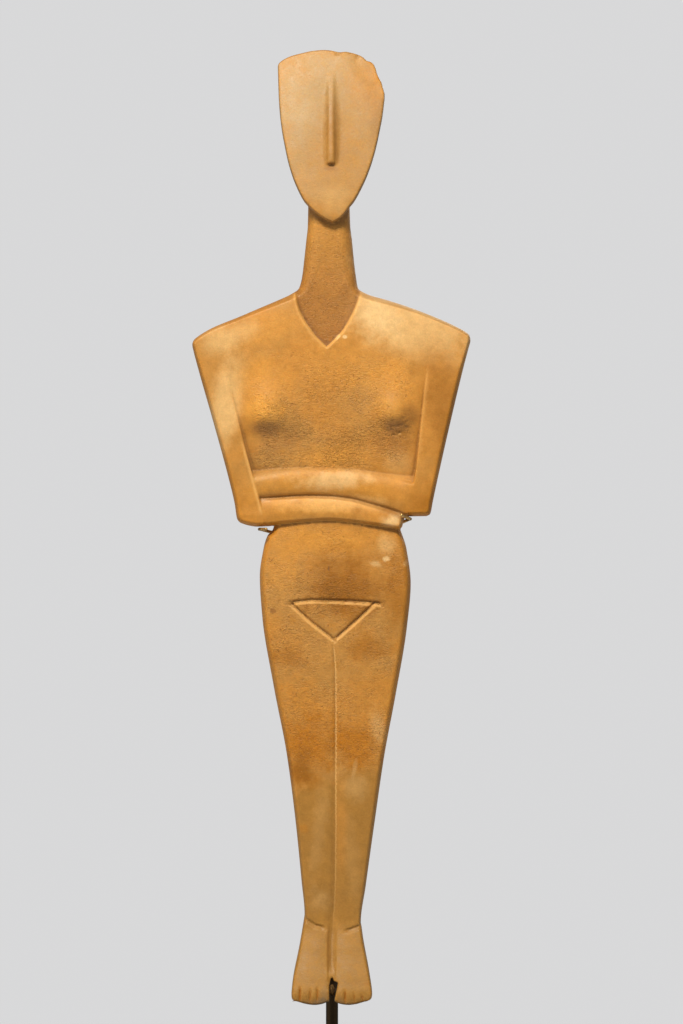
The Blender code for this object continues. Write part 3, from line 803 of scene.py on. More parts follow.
head_left, head_right = by_height(HEAD_LEFT), by_height(HEAD_RIGHT)
chipped = np.array(CHIPPED_CORNER)
crown_height = np.where(
    across < CROWN[-1][0],
    smooth_curve(CROWN, across),
    np.interp(across, chipped[:, 0], chipped[:, 1]),
)[None, :]
head_inside = depth_inside(
    (
        edge_line(HEAD_LEFT, HEAD_EDGE_STEP),
        edge_line(HEAD_RIGHT, HEAD_EDGE_STEP),
        edge_line(CROWN, HEAD_EDGE_STEP, along_x=True),
        CHIPPED_CORNER,
    ),
    (X > head_left) & (X < head_right) & (Z > CHIN) & (Z < crown_height),
    HEAD_REACH,
)

# Front of the chest: the arms stand proud of it, the forearms lie one above the other, and the
# neck is cut back in a V.
LEFT_ARM_LINE = (
    (199.5, -27.8), (201.6, -28.3), (208.6, -30.1), (217.7, -32.6), (229.4, -35.8), (242.1, -39.0),
    (254.0, -42.0), (264.0, -44.4),
)
RIGHT_ARM_LINE = (
    (206.0, 32.2), (213.4, 33.3), (222.0, 34.5), (233.5, 35.7), (246.2, 37.1), (260.1, 38.5),
    (266.0, 39.0),
)
UPPER_FOREARM_TOP = (
    (-36.0, 215.4), (-30.0, 216.5), (-24.6, 217.4), (-15.2, 218.5), (-2.7, 219.0), (8.2, 218.1),
    (18.3, 216.5), (31.0, 213.9), (38.0, 212.2),
)
BETWEEN_FOREARMS = (
    (-36.0, 206.4), (-28.2, 206.8), (-20.0, 207.4), (-10.0, 207.9), (0.0, 207.6), (8.3, 206.5),
    (15.5, 204.6), (23.9, 202.1), (29.5, 200.0), (38.0, 195.8),
)
ARM_RISE = ((196.0, 1.8), (208.0, 1.6), (216.0, 1.2), (230.0, 0.75), (250.0, 0.3), (266.0, 0.0))
LEFT_STEP = (
    (196.0, 0.4), (206.0, 1.0), (214.0, 1.5), (228.0, 1.2), (242.0, 0.65), (256.0, 0.3), (264.0, 0.0),
)
RIGHT_STEP = ((204.0, 0.6), (214.0, 1.2), (228.0, 1.0), (246.0, 0.7), (256.0, 0.35), (263.0, 0.0))
TOP_STEP = (
    (-36.0, 1.2), (-26.0, 1.0), (-14.0, 0.45), (2.0, 0.12), (18.0, 0.5), (31.0, 1.0), (38.0, 1.2),
)
FOREARM_RISE = 2.0
V_LEFT = (
    (266.0, 1.0), (268.3, -2.1), (270.8, -4.9), (272.9, -7.0), (275.9, -9.1), (278.9, -11.2),
    (283.0, -13.1), (286.7, -14.2), (290.6, -14.8), (300.0, -16.0),
)
V_RIGHT = (
    (266.0, -5.2), (268.3, -2.1), (271.3, 1.1), (274.5, 4.1), (278.7, 6.8), (283.0, 8.9),
    (286.7, 10.3), (290.7, 11.3), (300.0, 13.0),
)

forearm_top = by_side(UPPER_FOREARM_TOP)
forearm_gap = by_side(BETWEEN_FOREARMS)
past_left = X - by_height(LEFT_ARM_LINE)
past_right = by_height(RIGHT_ARM_LINE) - X

# The steps down from the arms and the forearm fade out over the chest.
LEFT_FADE, RIGHT_FADE, TOP_FADE = 9.0, 7.0, 5.0
chest_rise = -by_height(LEFT_STEP) * np.exp(-np.maximum(past_left, 0) / LEFT_FADE)
for step, past, fade in (
    (by_height(RIGHT_STEP), past_right, RIGHT_FADE), (by_side(TOP_STEP), Z - forearm_top, TOP_FADE),
):
    chest_rise = chest_rise - step * np.exp(-np.maximum(past, 0) / fade)

# Each breast is a low mound, longer above than below, with a shallow fold under it.
BREASTS = ((-26.4, 241.2), (25.4, 241.4))
BREAST_RISE, BREAST_ROUNDNESS = 3.1, 1.9
BREAST_HALF, BREAST_ABOVE, BREAST_BELOW = 8.6, 11.5, 5.8
FOLD_DEPTH, FOLD_DOWN, FOLD_HALF, FOLD_HEIGHT = 0.4, 9.5, 8.0, 4.5
for breast_x, breast_z in BREASTS:
    dx, dz = X - breast_x, Z - breast_z
    radius = np.hypot(dx / BREAST_HALF, dz / np.where(dz > 0, BREAST_ABOVE, BREAST_BELOW))
    chest_rise = chest_rise + BREAST_RISE * np.exp(-(radius**BREAST_ROUNDNESS))
    fold = np.hypot(dx / FOLD_HALF, (dz + FOLD_DOWN) / FOLD_HEIGHT)
    chest_rise = chest_rise - FOLD_DEPTH * np.exp(-(fold**2))

# Burial ate a cluster of pits under the right breast.
PITTED, PIT_SPREAD = (27.0, 236.6), (2.4, 1.8)
PITS, PITS_SEED = 12, 8
PIT_DEPTH, PIT_HEIGHT, PIT_HALF, PIT_HALF_VARIES = 0.32, 0.45, 0.65, 0.15
for pit_x, pit_z, pit_size in np.random.default_rng(PITS_SEED).normal(0, 1, (PITS, 3)):
    dx = X - PITTED[0] - PIT_SPREAD[0] * pit_x
    dz = Z - PITTED[1] - PIT_SPREAD[1] * pit_z
    pit = np.hypot(dx / (PIT_HALF + PIT_HALF_VARIES * abs(pit_size)), dz / PIT_HEIGHT)
    chest_rise = chest_rise - PIT_DEPTH * np.exp(-(pit**2))

# The forearms are two rounded bars. The lower one crests under the gap and turns in at the belly.
UPPER_EDGE, UPPER_ROUNDNESS = 0.2, 2.5
LOWER_EDGE, LOWER_ROUNDNESS, LOWER_FLATTER = 0.3, 2.4, 0.4
LOWER_CREST, LOWER_HALF = 7.4, 7.2
LOWER_TURN, TURN_DOWN, TURN_FADE = 1.0, 6.0, 7.0
UPPER_CREASE, LOWER_CREASE, LOWER_OVERLAP = 0.25, 0.2, 3
FAR_BELOW = -9.0
middle_of_upper = (forearm_top + forearm_gap) / 2
half_of_upper = (forearm_top - forearm_gap) / 2
across_upper = abs((Z - middle_of_upper) / half_of_upper)
upper_bar = UPPER_EDGE + (FOREARM_RISE - UPPER_EDGE) * (1 - across_upper**UPPER_ROUNDNESS)
past_crest = np.clip((Z - (forearm_gap - LOWER_CREST)) / LOWER_HALF, 0, 4)
lower_bar = LOWER_EDGE + (FOREARM_RISE - LOWER_FLATTER) * (1 - past_crest**LOWER_ROUNDNESS)
lower_bar = lower_bar - LOWER_TURN * ramp((forearm_gap - TURN_DOWN - Z) / TURN_FADE)
folded = soft_max(chest_rise, upper_bar, UPPER_CREASE)
folded = np.where(Z < forearm_gap, np.maximum(folded, lower_bar), folded)
lower_only = np.where(Z < forearm_gap + LOWER_OVERLAP, lower_bar, FAR_BELOW)
folded = soft_max(folded, lower_only, LOWER_CREASE)

# The left arm stands over the chest with a small lip. Its edge is crisp below and soft above.
ARM_EDGE, ARM_EDGE_SOFTER, LEFT_SOFTENS = 0.5, 3.5, (244, 18)
LIP, LIP_REACH, LIP_FROM, LIP_TO = 0.22, 2.2, (200, 3), (250, 20)
ELBOW_END = (199.5, 3.0)
arm_rise = by_height(ARM_RISE)
into_chest = ramp(past_left / (ARM_EDGE + ARM_EDGE_SOFTER * above(*LEFT_SOFTENS)) + 0.5)
lip = LIP * above(*LIP_FROM) * below(*LIP_TO) * ramp(1 - abs(past_left) / LIP_REACH)
rise = blend(into_chest, arm_rise + lip, folded)
under_gap = np.maximum(rise, blend(above(*ELBOW_END), lower_bar, rise))
rise = np.where(Z < forearm_gap, under_gap, rise)

# The right arm runs down into the upper forearm, round the elbow.
RIGHT_EDGE, RIGHT_SOFTENS = 0.6, (248, 16)
ON_FOREARM = 1.5
ELBOW_FROM, ELBOW_FADE = 27.0, 6.0
INTO_FOREARM = (222.0, 16)
ARM_UNDER_FOREARM = 0.1
over_forearm = ramp((Z - (forearm_top - ON_FOREARM)) / ON_FOREARM)
beyond = ramp(0.5 - past_right / (RIGHT_EDGE + ARM_EDGE_SOFTER * above(*RIGHT_SOFTENS)))
elbow = ramp((X - ELBOW_FROM) / ELBOW_FADE) * ramp((Z - forearm_gap + 1.0) / 2.0)
beyond = beyond * over_forearm + elbow * (1 - over_forearm)
upper_arm = blend(below(*INTO_FOREARM), arm_rise, FOREARM_RISE - ARM_UNDER_FOREARM)
rise = blend(beyond, rise, upper_arm)

SIDES_TURN, SIDES_ROUNDNESS = 1.0, 2.5
NECK_NARROWS = (NECK_TOP - 36, 14)
V_STEEPNESS = 0.9
half_width = (chest_right - chest_left) / 2
off_centre = np.clip(abs(X - (chest_left + chest_right) / 2) / half_width, 0, OVER_EDGE)
below_neck = below(*NECK_NARROWS)
chest_front = by_height(CHEST_FRONT) + SIDES_TURN * off_centre**SIDES_ROUNDNESS * below_neck - rise
in_v = np.minimum(X - by_height(V_LEFT), by_height(V_RIGHT) - X)
into_neck = ramp(in_v * V_STEEPNESS + 0.5)
chest_front = blend(into_neck, chest_front, by_height(NECK_FRONT))
chest_front = chest_front + carve(turned(RIGHT_ARM_LINE[1:-1]), width=1.1, depth=0.35, fade=8)
chest_front = chest_front + carve(BETWEEN_FOREARMS[1:-1], width=2.6, depth=0.55, fade=5)

# Front of the legs and feet: a line between the legs, the triangle, the ankles and the toes.
LEG_CLEFT = (
    (-0.1, 11.0), (-0.1, 24.0), (0.2, 33.0), (0.8, 42.0), (1.2, 60.0), (1.3, 100.0), (1.3, 130.0),
    (0.9, 142.0), (0.3, 147.5),
)
TRIANGLE_TOP = (
    (-16.9, 164.4), (-13.0, 165.1), (-8.0, 165.5), (5.3, 165.2), (13.0, 164.8), (18.0, 164.4),
    (20.6, 163.6),
)
TRIANGLE_LEFT = ((-17.0, 164.4), (-8.6, 156.8), (-0.6, 150.6), (1.0, 149.0))
TRIANGLE_RIGHT = ((17.6, 164.3), (9.6, 157.0), (1.2, 149.6))
LEFT_ANKLE = ((-11.6, 36.9), (-10.3, 34.9), (-7.0, 32.7), (-2.9, 31.5))
RIGHT_ANKLE = ((12.2, 32.8), (8.4, 31.2), (5.3, 30.3))
CLEFT_HOLLOW = (
    (6.0, 0.3), (20.0, 0.8), (40.0, 0.8), (90.0, 0.45), (130.0, 0.2), (150.0, 0.0),
)

leg_half = (leg_right - leg_left) / 2
leg_off = np.clip(abs(X - (leg_left + leg_right) / 2) / leg_half, 0, OVER_EDGE)
LEG_TURN, LEG_ROUNDNESS = ((0.0, 1.0), (40.0, 0.5), (100.0, 0.8), (170.0, 1.5)), 2.4
leg_front = by_height(LEG_FRONT) + by_height(LEG_TURN) * leg_off**LEG_ROUNDNESS

# The legs round in towards their line, which is a full cut on the thighs and half a cut below. It
# opens into a shallow trough on the shins and a flat channel between the feet.
HOLLOW_HALF, HOLLOW_ROUNDNESS = 4.5, 1.5
ABOVE_KNEES, CUT_ON_SHINS = (84, 24), 0.55
TROUGH, TROUGH_HALF, TROUGH_FADE, TROUGH_TO, TROUGH_FROM = 0.28, 1.9, 1.2, (104, 30), (30, 8)
CHANNEL, CHANNEL_HALF, CHANNEL_FADE, CHANNEL_TO, CHANNEL_FROM = 0.65, 1.5, 0.9, (34, 5), (9, 2)
PLUG, PLUG_AT, PLUG_HALF = 0.7, (-0.2, 13.2), (1.4, 2.2)
cleft = np.array(LEG_CLEFT)
off_cleft = abs(X - np.interp(up, cleft[:, 1], cleft[:, 0])[:, None])
leg_front = leg_front + by_height(CLEFT_HOLLOW) * np.exp(
    -((off_cleft / HOLLOW_HALF) ** HOLLOW_ROUNDNESS)
)
cut_share = CUT_ON_SHINS + (1 - CUT_ON_SHINS) * above(*ABOVE_KNEES)
leg_front = leg_front + carve(LEG_CLEFT, width=1.9, depth=0.5, fade=4) * cut_share
trough = TROUGH * (below(*TROUGH_TO) * above(*TROUGH_FROM))
leg_front = leg_front + trough * ramp((TROUGH_HALF - off_cleft) / TROUGH_FADE)
channel = CHANNEL * (below(*CHANNEL_TO) * above(*CHANNEL_FROM))
leg_front = leg_front + channel * ramp((CHANNEL_HALF - off_cleft) / CHANNEL_FADE + 0.5)
plug = np.hypot((X - PLUG_AT[0]) / PLUG_HALF[0], (Z - PLUG_AT[1]) / PLUG_HALF[1])
leg_front = leg_front - PLUG * np.exp(-(plug**2))

# Every incised line has a steep upper wall and a broad, shallower lower one.
INCISED = (
    (TRIANGLE_TOP, 1.15), (TRIANGLE_LEFT, 1.15), (TRIANGLE_RIGHT, 1.15),
    (LEFT_ANKLE, 0.85), (RIGHT_ANKLE, 0.85),
)
CUT_WIDTH = 1.6
LOWER_WALL_DOWN, LOWER_WALL_WIDER, LOWER_WALL_DEPTH = 0.55, 1.35, 0.75
for line, depth in INCISED:
    lower_wall = [(x, z - LOWER_WALL_DOWN) for x, z in line]
    leg_front = leg_front + np.maximum(
        carve(line, CUT_WIDTH, depth),
        carve(lower_wall, LOWER_WALL_WIDER * CUT_WIDTH, LOWER_WALL_DEPTH * depth),
    )

# Each gap between toes: its place across, its top and its depth. They fan out a little.
TOE_GAPS = (
    (-12.9, 7.8, 0.95), (-8.8, 7.0, 0.7), (-5.9, 7.6, 0.8), (5.3, 6.6, 0.95), (9.0, 5.8, 0.5),
    (12.3, 5.4, 0.5),
)
TOE_GAP_WIDTH, TOE_GAP_END, TOES_FAN = 1.4, 1.8, 1.02
for gap_x, gap_top, gap_depth in TOE_GAPS:
    gap_line = ((gap_x, gap_top), (gap_x * TOES_FAN, TOE_GAP_END))
    leg_front = leg_front + carve(gap_line, TOE_GAP_WIDTH, gap_depth, fade=2.0)

# Face: a long blade of a nose on a flat shield, with a shallow flake lost beside the crown.
NOSE_X = -0.4
NOSE_END = 343.2
NOSE_HALF = ((343.0, 2.7), (350.0, 3.6), (362.0, 3.8), (372.0, 3.0), (381.0, 1.8))
NOSE_RISE = (
    (343.0, 2.0), (348.0, 2.3), (358.0, 2.1), (368.0, 1.35), (374.0, 0.7), (379.0, 0.2), (382.0, 0.0),
)
NOSE_CREST = 0.9
FLAKE = (
    (2.0, 388.2), (5.0, 385.4), (6.6, 382.0), (9.0, 378.4), (12.6, 375.4), (15.4, 372.8),
    (18.5, 371.6), (23.0, 371.6), (25.0, 392.0), (4.0, 392.0),
)
CROWN_CHIPS = ((2.6, 389.6, 1.5), (6.6, 389.4, 1.3), (10.4, 388.2, 1.6), (-15.0, 389.0, 0.9))


def inside_polygon(corners, x, z):
    """Whether each place lies within a closed outline."""
    within = np.zeros(np.broadcast(x, z).shape, bool)
    for (ax, az), (bx, bz) in zip(corners, corners[1:] + corners[:1]):
        if az != bz:
            level = (z > min(az, bz)) & (z <= max(az, bz))
            within ^= level & (x < ax + (z - az) * (bx - ax) / (bz - az))
    return within


FACE_TURN, FACE_ROUNDNESS, FACE_MIDDLE, FACE_HALF = 0.7, 2.4, -0.3, 21
NOSE_WALL, WALL_REACH, NOSE_FOOT, FOOT_SWEEP = 0.42, 1.1, 0.58, 1.4
NOSE_TIP_FROM, NOSE_TIP_FADE = NOSE_END - 0.6, 1.2
face_turn = np.clip(abs(X - FACE_MIDDLE) / FACE_HALF, 0, OVER_EDGE)
head_front = by_height(HEAD_FRONT) + FACE_TURN * face_turn**FACE_ROUNDNESS
nose_half = by_height(NOSE_HALF)
off_crest = np.maximum(abs(X - NOSE_X) - NOSE_CREST, 0)
wall = NOSE_WALL * (1 - ramp(off_crest / WALL_REACH))
spread_out = np.clip(off_crest / (nose_half - NOSE_CREST), 0, 1)
foot = NOSE_FOOT * (1 - spread_out) ** FOOT_SWEEP
nose_ends = above(NOSE_TIP_FROM, NOSE_TIP_FADE)
head_front = head_front - by_height(NOSE_RISE) * (wall + foot) * nose_ends

# The flake and the chips have ragged edges. The flake deepens inwards over an uneven floor.
RAGGED, RAGGED_SIZE, RAGGED_SEEDS = 0.7, 2.6, (21, 22)
FLAKE_DEPTH, FLAKE_UNEVEN, FLAKE_UNEVEN_SIZE, FLAKE_SEED = 0.55, 0.12, 3.1, 23
FLAKE_REACH, FLAKE_SLOPE = 6.0, 5.5
CHIP_DEPTH, CHIP_SLOPE = 0.5, 1.2
ragged_x, ragged_z = (
    place + RAGGED * uneven(RAGGED_SIZE, seed) for place, seed in zip((X, Z), RAGGED_SEEDS)
)
flake_edge = distance_to((FLAKE[:-2],), FLAKE_REACH)
flaked = inside_polygon(FLAKE, ragged_x, ragged_z)
flake_floor = FLAKE_DEPTH + FLAKE_UNEVEN * uneven(FLAKE_UNEVEN_SIZE, FLAKE_SEED)
head_front = head_front + flake_floor * ramp(flake_edge / FLAKE_SLOPE) * flaked
for chip_x, chip_z, chip_size in CROWN_CHIPS:
    away = np.hypot(ragged_x - chip_x, ragged_z - chip_z)
    head_front = head_front + CHIP_DEPTH * np.clip((chip_size - away) / CHIP_SLOPE, 0, 1)

# Back: the same outline, with the arms, the spine, the V and the legs only lightly marked. Every
# part of it rounds off towards its sides.
CHEST_ROUNDS, LEGS_ROUND, HEAD_ROUNDS = (1.3, 2.2), (1.5, 2.4), (1.6, 2.2)
SPINE = ((-1.0, 264.0), (-0.6, 235.0), (0.0, 200.0))
HOLLOW_BACK, HOLLOW_BACK_HALF, HOLLOW_BACK_TO = 0.5, 7, (262, 40)
V_BEHIND, V_BEHIND_EDGE, V_BEHIND_FOOT, V_BEHIND_TO = 0.9, 0.8, 290, (300, 8)
V_BEHIND_LEFT, V_BEHIND_RIGHT = (13.5, 0.55), (10.5, 0.5)
CLEFT_BEHIND = ((0.0, 180.0), (0.2, 150.0), (0.4, 100.0), (0.2, 50.0), (0.0, 10.0))
BETWEEN_LEGS, BETWEEN_X, BETWEEN_HALF, BETWEEN_ROUNDNESS = 1.1, 0.2, 5, 1.6
BETWEEN_TO, BETWEEN_FROM, LEGS_ROUND_FROM = (178, 20), (8, 20), (20, 20)
chest_back = by_height(CHEST_BACK) - CHEST_ROUNDS[0] * off_centre**CHEST_ROUNDS[1] * below_neck
for arm_line in (LEFT_ARM_LINE[3:], RIGHT_ARM_LINE[1:-1]):
    chest_back = chest_back - carve(turned(arm_line), width=1.8, depth=0.7, fade=6)
hollow_back = HOLLOW_BACK * np.exp(-((X / HOLLOW_BACK_HALF) ** 2)) * below(*HOLLOW_BACK_TO)
under_v = V_BEHIND_FOOT - Z
v_behind = np.minimum(
    X + V_BEHIND_LEFT[0] - under_v * V_BEHIND_LEFT[1],
    V_BEHIND_RIGHT[0] - X - under_v * V_BEHIND_RIGHT[1],
)
in_v_behind = ramp(v_behind / V_BEHIND_EDGE + 0.5)
chest_back = chest_back - carve(SPINE, width=2.4, depth=0.7, fade=14) - hollow_back
chest_back = chest_back - V_BEHIND * in_v_behind * below(*V_BEHIND_TO)
between_legs = np.exp(-((abs(X - BETWEEN_X) / BETWEEN_HALF) ** BETWEEN_ROUNDNESS))
between_legs = between_legs * below(*BETWEEN_TO) * above(*BETWEEN_FROM)
leg_back = by_height(LEG_BACK) - LEGS_ROUND[0] * leg_off**LEGS_ROUND[1] * above(*LEGS_ROUND_FROM)
leg_back = leg_back - carve(CLEFT_BEHIND, width=2.2, depth=1.0, fade=10)
leg_back = leg_back - BETWEEN_LEGS * between_legs
head_back = by_height(HEAD_BACK) - HEAD_ROUNDS[0] * face_turn**HEAD_ROUNDS[1]

# Hand rubbing left every face slightly uneven.
RUBBED = ((11.0, 0.10), (5.5, 0.05), (2.3, 0.018))
FRONT_SEED, BACK_SEED = 31, 41
for turn, (size, height) in enumerate(RUBBED):
    in_front = height * uneven(size, FRONT_SEED + turn)
    behind = height * uneven(size, BACK_SEED + turn)
    chest_front, leg_front, head_front = (
        part + in_front for part in (chest_front, leg_front, head_front)
    )
    chest_back, leg_back, head_back = (
        part + 2 * behind for part in (chest_back, leg_back, head_back)
    )

FOOT_GAP = (
    (-1.2, -6.0), (-1.0, 8.4), (-0.5, 10.9), (0.1, 11.6), (0.8, 10.2), (2.3, 9.6), (2.3, 9.0),
    (1.1, 3.0), (1.3, -6.0),
)
FOOT_GAP_ROUNDING, FOOT_GAP_REACH = 0.4, 3.0
gap_inside = depth_inside((FOOT_GAP,), inside_polygon(FOOT_GAP, X, Z), FOOT_GAP_REACH)


# The stone is the soft union of three masses. Each one's cross-section runs from its front to its
# back, and turns over in a rim along its outline, tightly in front and more roundly behind.
LEGS_BEHIND, CHEST_BEHIND, HEAD_BEHIND = 2.6, 3.0, 8.0
WAIST_CREASE, CHIN_CREASE = 0.4, 0.6
LAYERS = 5
masses = []
for inside, rim, squareness, front, back in (
    (leg_inside, by_height(LEG_RIM), by_height(LEG_SQUARENESS), leg_front, leg_back),
    (chest_inside, by_height(CHEST_RIM), by_height(CHEST_SQUARENESS), chest_front, chest_back),
    (head_inside, by_height(HEAD_RIM), HEAD_SQUARENESS, head_front, head_back),
):
    masses += np.broadcast_arrays(inside, rim, squareness, front, back)
maps = np.stack(masses + [gap_inside])


def at_places(layers, x, z):
    """Every layer's value at places between those of the grid."""
    column, row = (
        np.clip((place - grid[0]) / CARVING_CELL, 0, len(grid) - 1.001)
        for place, grid in ((x, across), (z, up))
    )
    i, j = row.astype(int), column.astype(int)
    s, t = row - i, column - j
    lower = blend(t, layers[:, i, j], layers[:, i, j + 1])
    upper = blend(t, layers[:, i + 1, j], layers[:, i + 1, j + 1])
    return blend(s, lower, upper)


def mass(shape, y, behind):
    """Below 0 within one mass of the stone, above 0 outside: about the distance to its surface."""
    inside, rim, squareness, front, back = shape
    half = (back - front) / 2
    from_middle = y - (front + back) / 2
    rim = np.where(from_middle > 0, rim * behind, rim)
    edge = np.maximum(1 - inside / rim, 0)
    deep = abs(from_middle / half)
    return ((edge**squareness + deep**squareness) ** (1 / squareness) - 1) * np.minimum(rim, half)


def stone(at, y):
    """Below 0 within the whole stone."""
    legs, chest, head = np.split(at[:-1], 3)
    body = soft_min(mass(legs, y, LEGS_BEHIND), mass(chest, y, CHEST_BEHIND), WAIST_CREASE)
    body = soft_min(body, mass(head, y, HEAD_BEHIND), CHIN_CREASE)
    return soft_max(body, at[-1] + 0 * y, FOOT_GAP_ROUNDING)


def stone_at(points):
    x, y, z = points.T
    return stone(at_places(maps, x, z), y)


BLOCK = ((-59.5, 59.5), (-21.0, 16.5), (-2.5, 393.5))
NEAR, FAR_OUTSIDE = -2.5, 9.0


def voxel_surface(cell):
    """Four-sided faces round the stone: one point in every cell that its surface passes through."""
    xs, ys, zs = (np.arange(low, high, cell) for low, high in BLOCK)
    grid_x, grid_z = np.meshgrid(xs, zs)
    at = at_places(maps, grid_x.ravel(), grid_z.ravel())
    near = (at[:-1:LAYERS] > NEAR).any(axis=0)
    value = np.full((len(near), len(ys)), FAR_OUTSIDE, np.float32)
    value[near] = stone(at[:, near, None], ys)
    value = value.reshape(len(zs), len(xs), len(ys))
    solid = value < 0
    count = np.zeros([n - 1 for n in solid.shape], np.int8)
    corners = [(a, b, c) for a in (0, 1) for b in (0, 1) for c in (0, 1)]
    for a, b, c in corners:
        count += solid[a:, b:, c:][: count.shape[0], : count.shape[1], : count.shape[2]]
    active = (count > 0) & (count < 8)
    number = np.full(active.shape, -1, np.int32)
    number[active] = np.arange(active.sum())
    k, i, j = np.nonzero(active)
    total, crossings = np.zeros((len(k), 3)), np.zeros(len(k))
    for start in corners:
        for axis in range(3):
            if start[axis]:
                continue
            end = list(start)
            end[axis] = 1
            here = value[k + start[0], i + start[1], j + start[2]]
            there = value[k + end[0], i + end[1], j + end[2]]
            crossed = (here < 0) != (there < 0)
            share = np.where(crossed, here / np.where(crossed, here - there, 1), 0)
            place = np.array(start, float) + np.outer(share, np.array(end) - np.array(start))
            total += place * crossed[:, None]
            crossings += crossed
    middle = total / crossings[:, None] + np.column_stack((k, i, j))
    points = np.array((xs[0], ys[0], zs[0])) + middle[:, [1, 2, 0]] * cell
    faces = []
    for axis in range(3):
        ahead = [slice(1, n - 1) for n in solid.shape]
        behind = list(ahead)
        behind[axis], ahead[axis] = slice(0, -1), slice(1, None)
        first, second = solid[tuple(behind)], solid[tuple(ahead)]
        one, other = [b for b in range(3) if b != axis]
        for leaving in (True, False):
            at_edge = np.array(np.nonzero(first & ~second if leaving else second & ~first))
            at_edge[one] += 1
            at_edge[other] += 1
            around = []
            for back_one, back_other in ((1, 1), (0, 1), (0, 0), (1, 0)):
                cell_at = at_edge.copy()
                cell_at[one] -= back_one
                cell_at[other] -= back_other
                around.append(number[tuple(cell_at)])
            quad = np.column_stack(around)
            faces.append(quad if leaving == (axis == 1) else quad[:, ::-1])
    return points, np.concatenate(faces)


NUDGE, FLATTEST, LONGEST_MOVE = 0.05, 0.04, 0.3


def onto_surface(points, steps):
    """Moves points onto the stone's surface, down the slope of its field."""
    for _ in range(steps):
        value = stone_at(points)
        slope = np.empty_like(points)
        for axis in range(3):
            shift = np.zeros(3)
            shift[axis] = NUDGE
            slope[:, axis] = (stone_at(points + shift) - stone_at(points - shift)) / (2 * NUDGE)
        steep = np.maximum((slope**2).sum(axis=1), FLATTEST)
        move = slope * (value / steep)[:, None]
        length = np.linalg.norm(move, axis=1)[:, None]
        points = points - move * np.minimum(1, LONGEST_MOVE / np.maximum(length, 1e-9))
    return points


def evened(points, faces, share=0.5):
    """Points moved part of the way to the middle of their neighbours."""
    total, count = np.zeros_like(points), np.zeros(len(points))
    for a, b in ((0, 1), (1, 2), (2, 3), (3, 0)):
        for axis in range(3):
            total[:, axis] += np.bincount(faces[:, a], points[faces[:, b], axis], len(points))
        count += np.bincount(faces[:, a], minlength=len(points))
    middle = total / np.maximum(count, 1)[:, None]
    return points + (middle - points) * share


points, faces = voxel_surface(STONE_CELL)
points = onto_surface(points, 2)
for _ in range(2):
    points = onto_surface(evened(points, faces), 1)
points = onto_surface(points, 1)

stone_mesh = bpy.data.meshes.new("figurine")
stone_mesh.from_pydata(((points + (0, 0, TOE_LEVEL)) * MM).tolist(), [], faces.tolist())
stone_mesh.shade_smooth()
figurine = new_piece("marble_figurine", stone_mesh)
fewer = figurine.modifiers.new("fewer faces", "DECIMATE")
fewer.ratio = min(1, STONE_TRIANGLES / (2 * len(faces)))
stone_mesh = plain_mesh(figurine)


# Where dirt lodges and where hands and soil wore the stone, with painted shade under overhangs and
# in the forearm crease, painted highlights on walls that face up and a painted orange rim: how far
# each place lies below or above its surroundings, and how near it is to the outline.
def blurred(heights, shares, radius):
    """Heights averaged over a soft round window, counting each place by its share."""
    steps = np.arange(-3 * radius, 3 * radius + CARVING_CELL, CARVING_CELL)
    window = np.exp(-0.5 * (steps / radius) ** 2)
    both = []
    for layer in (heights * shares, shares.astype(float)):
        layer = np.apply_along_axis(np.convolve, 0, layer, window, mode="same")
        both.append(np.apply_along_axis(np.convolve, 1, layer, window, mode="same"))
    return both[0] / np.maximum(both[1], 1e-6)


HOLLOW_RADIUS = 1.1
RIM_WIDTH, RIM_LESS_AT_SIDES, FACES_SIDE = 3.6, 0.55, (0.75, 0.2)
OFF_OUTLINE = (0.3, 0.8)
OVERHANGS_FROM = 25.0
OVERHANG_SHADE_AND_DIRT, OVERHANGS = 0.38, (0.25, 0.45)
FACES_DOWN = (0.12, 0.3)
OUTSIDE = -99.0
# Painted shade and glow: how much deep orange the outline takes at each height, where the stone turns
# away from the light.
RIM_ORANGE_BY_HEIGHT = (
    (0.0, 0.0), (60.0, 0.1), (100.0, 0.4), (125.0, 1.0), (200.0, 1.0), (225.0, 0.6), (256.0, 0.5),
    (268.0, 0.0), (290.0, 0.3), (312.0, 0.4), (326.0, 0.2), (345.0, 0.0),
)
inside = np.stack((leg_inside, chest_inside, head_inside))
outline_inside = np.minimum(inside.max(axis=0), -gap_inside)
within = outline_inside > 0


def nearest_face(faces, way):
    """The outermost of the three masses at every place, as a height away from the middle."""
    height = np.where(inside > 0, way * np.stack(np.broadcast_arrays(*faces)), OUTSIDE)
    return np.where(within, height.max(axis=0), 0.0)


front_height = nearest_face((leg_front, chest_front, head_front), -1)
back_height = nearest_face((leg_back, chest_back, head_back), 1)
off_outline = ramp((outline_inside - OFF_OUTLINE[0]) / OFF_OUTLINE[1])

# Painted highlight: the walls that face up inside the cuts, towards the light above, are
# painted pale.
STEEP_ENOUGH = ((28.0, 45.0), (0.42, 0.20))
WALL_FADE = 0.28
OFF_EDGE = (2.2, 1.2)
LIT_WALLS_FROM, LIT_WALLS_TO = 24, 312
FOREARMS_FROM, FOREARMS_TO, LESS_ON_FOREARMS = (190, 3), (226, 4), 0.85
ABOVE_FEET, LIT_WALLS_ON_FEET = (40, 20), 0.15
climb = -np.gradient(front_height, CARVING_CELL, axis=0)
lean = np.gradient(front_height, CARVING_CELL, axis=1)
faces_up = climb / np.sqrt(1 + climb**2 + lean**2)
lit_walls = ramp((faces_up - np.interp(up, *STEEP_ENOUGH)[:, None]) / WALL_FADE)
lit_walls = lit_walls * ramp((outline_inside - OFF_EDGE[0]) / OFF_EDGE[1])
lit_walls = lit_walls * ((Z > LIT_WALLS_FROM) & (Z < LIT_WALLS_TO))
on_forearms = above(*FOREARMS_FROM) * below(*FOREARMS_TO)
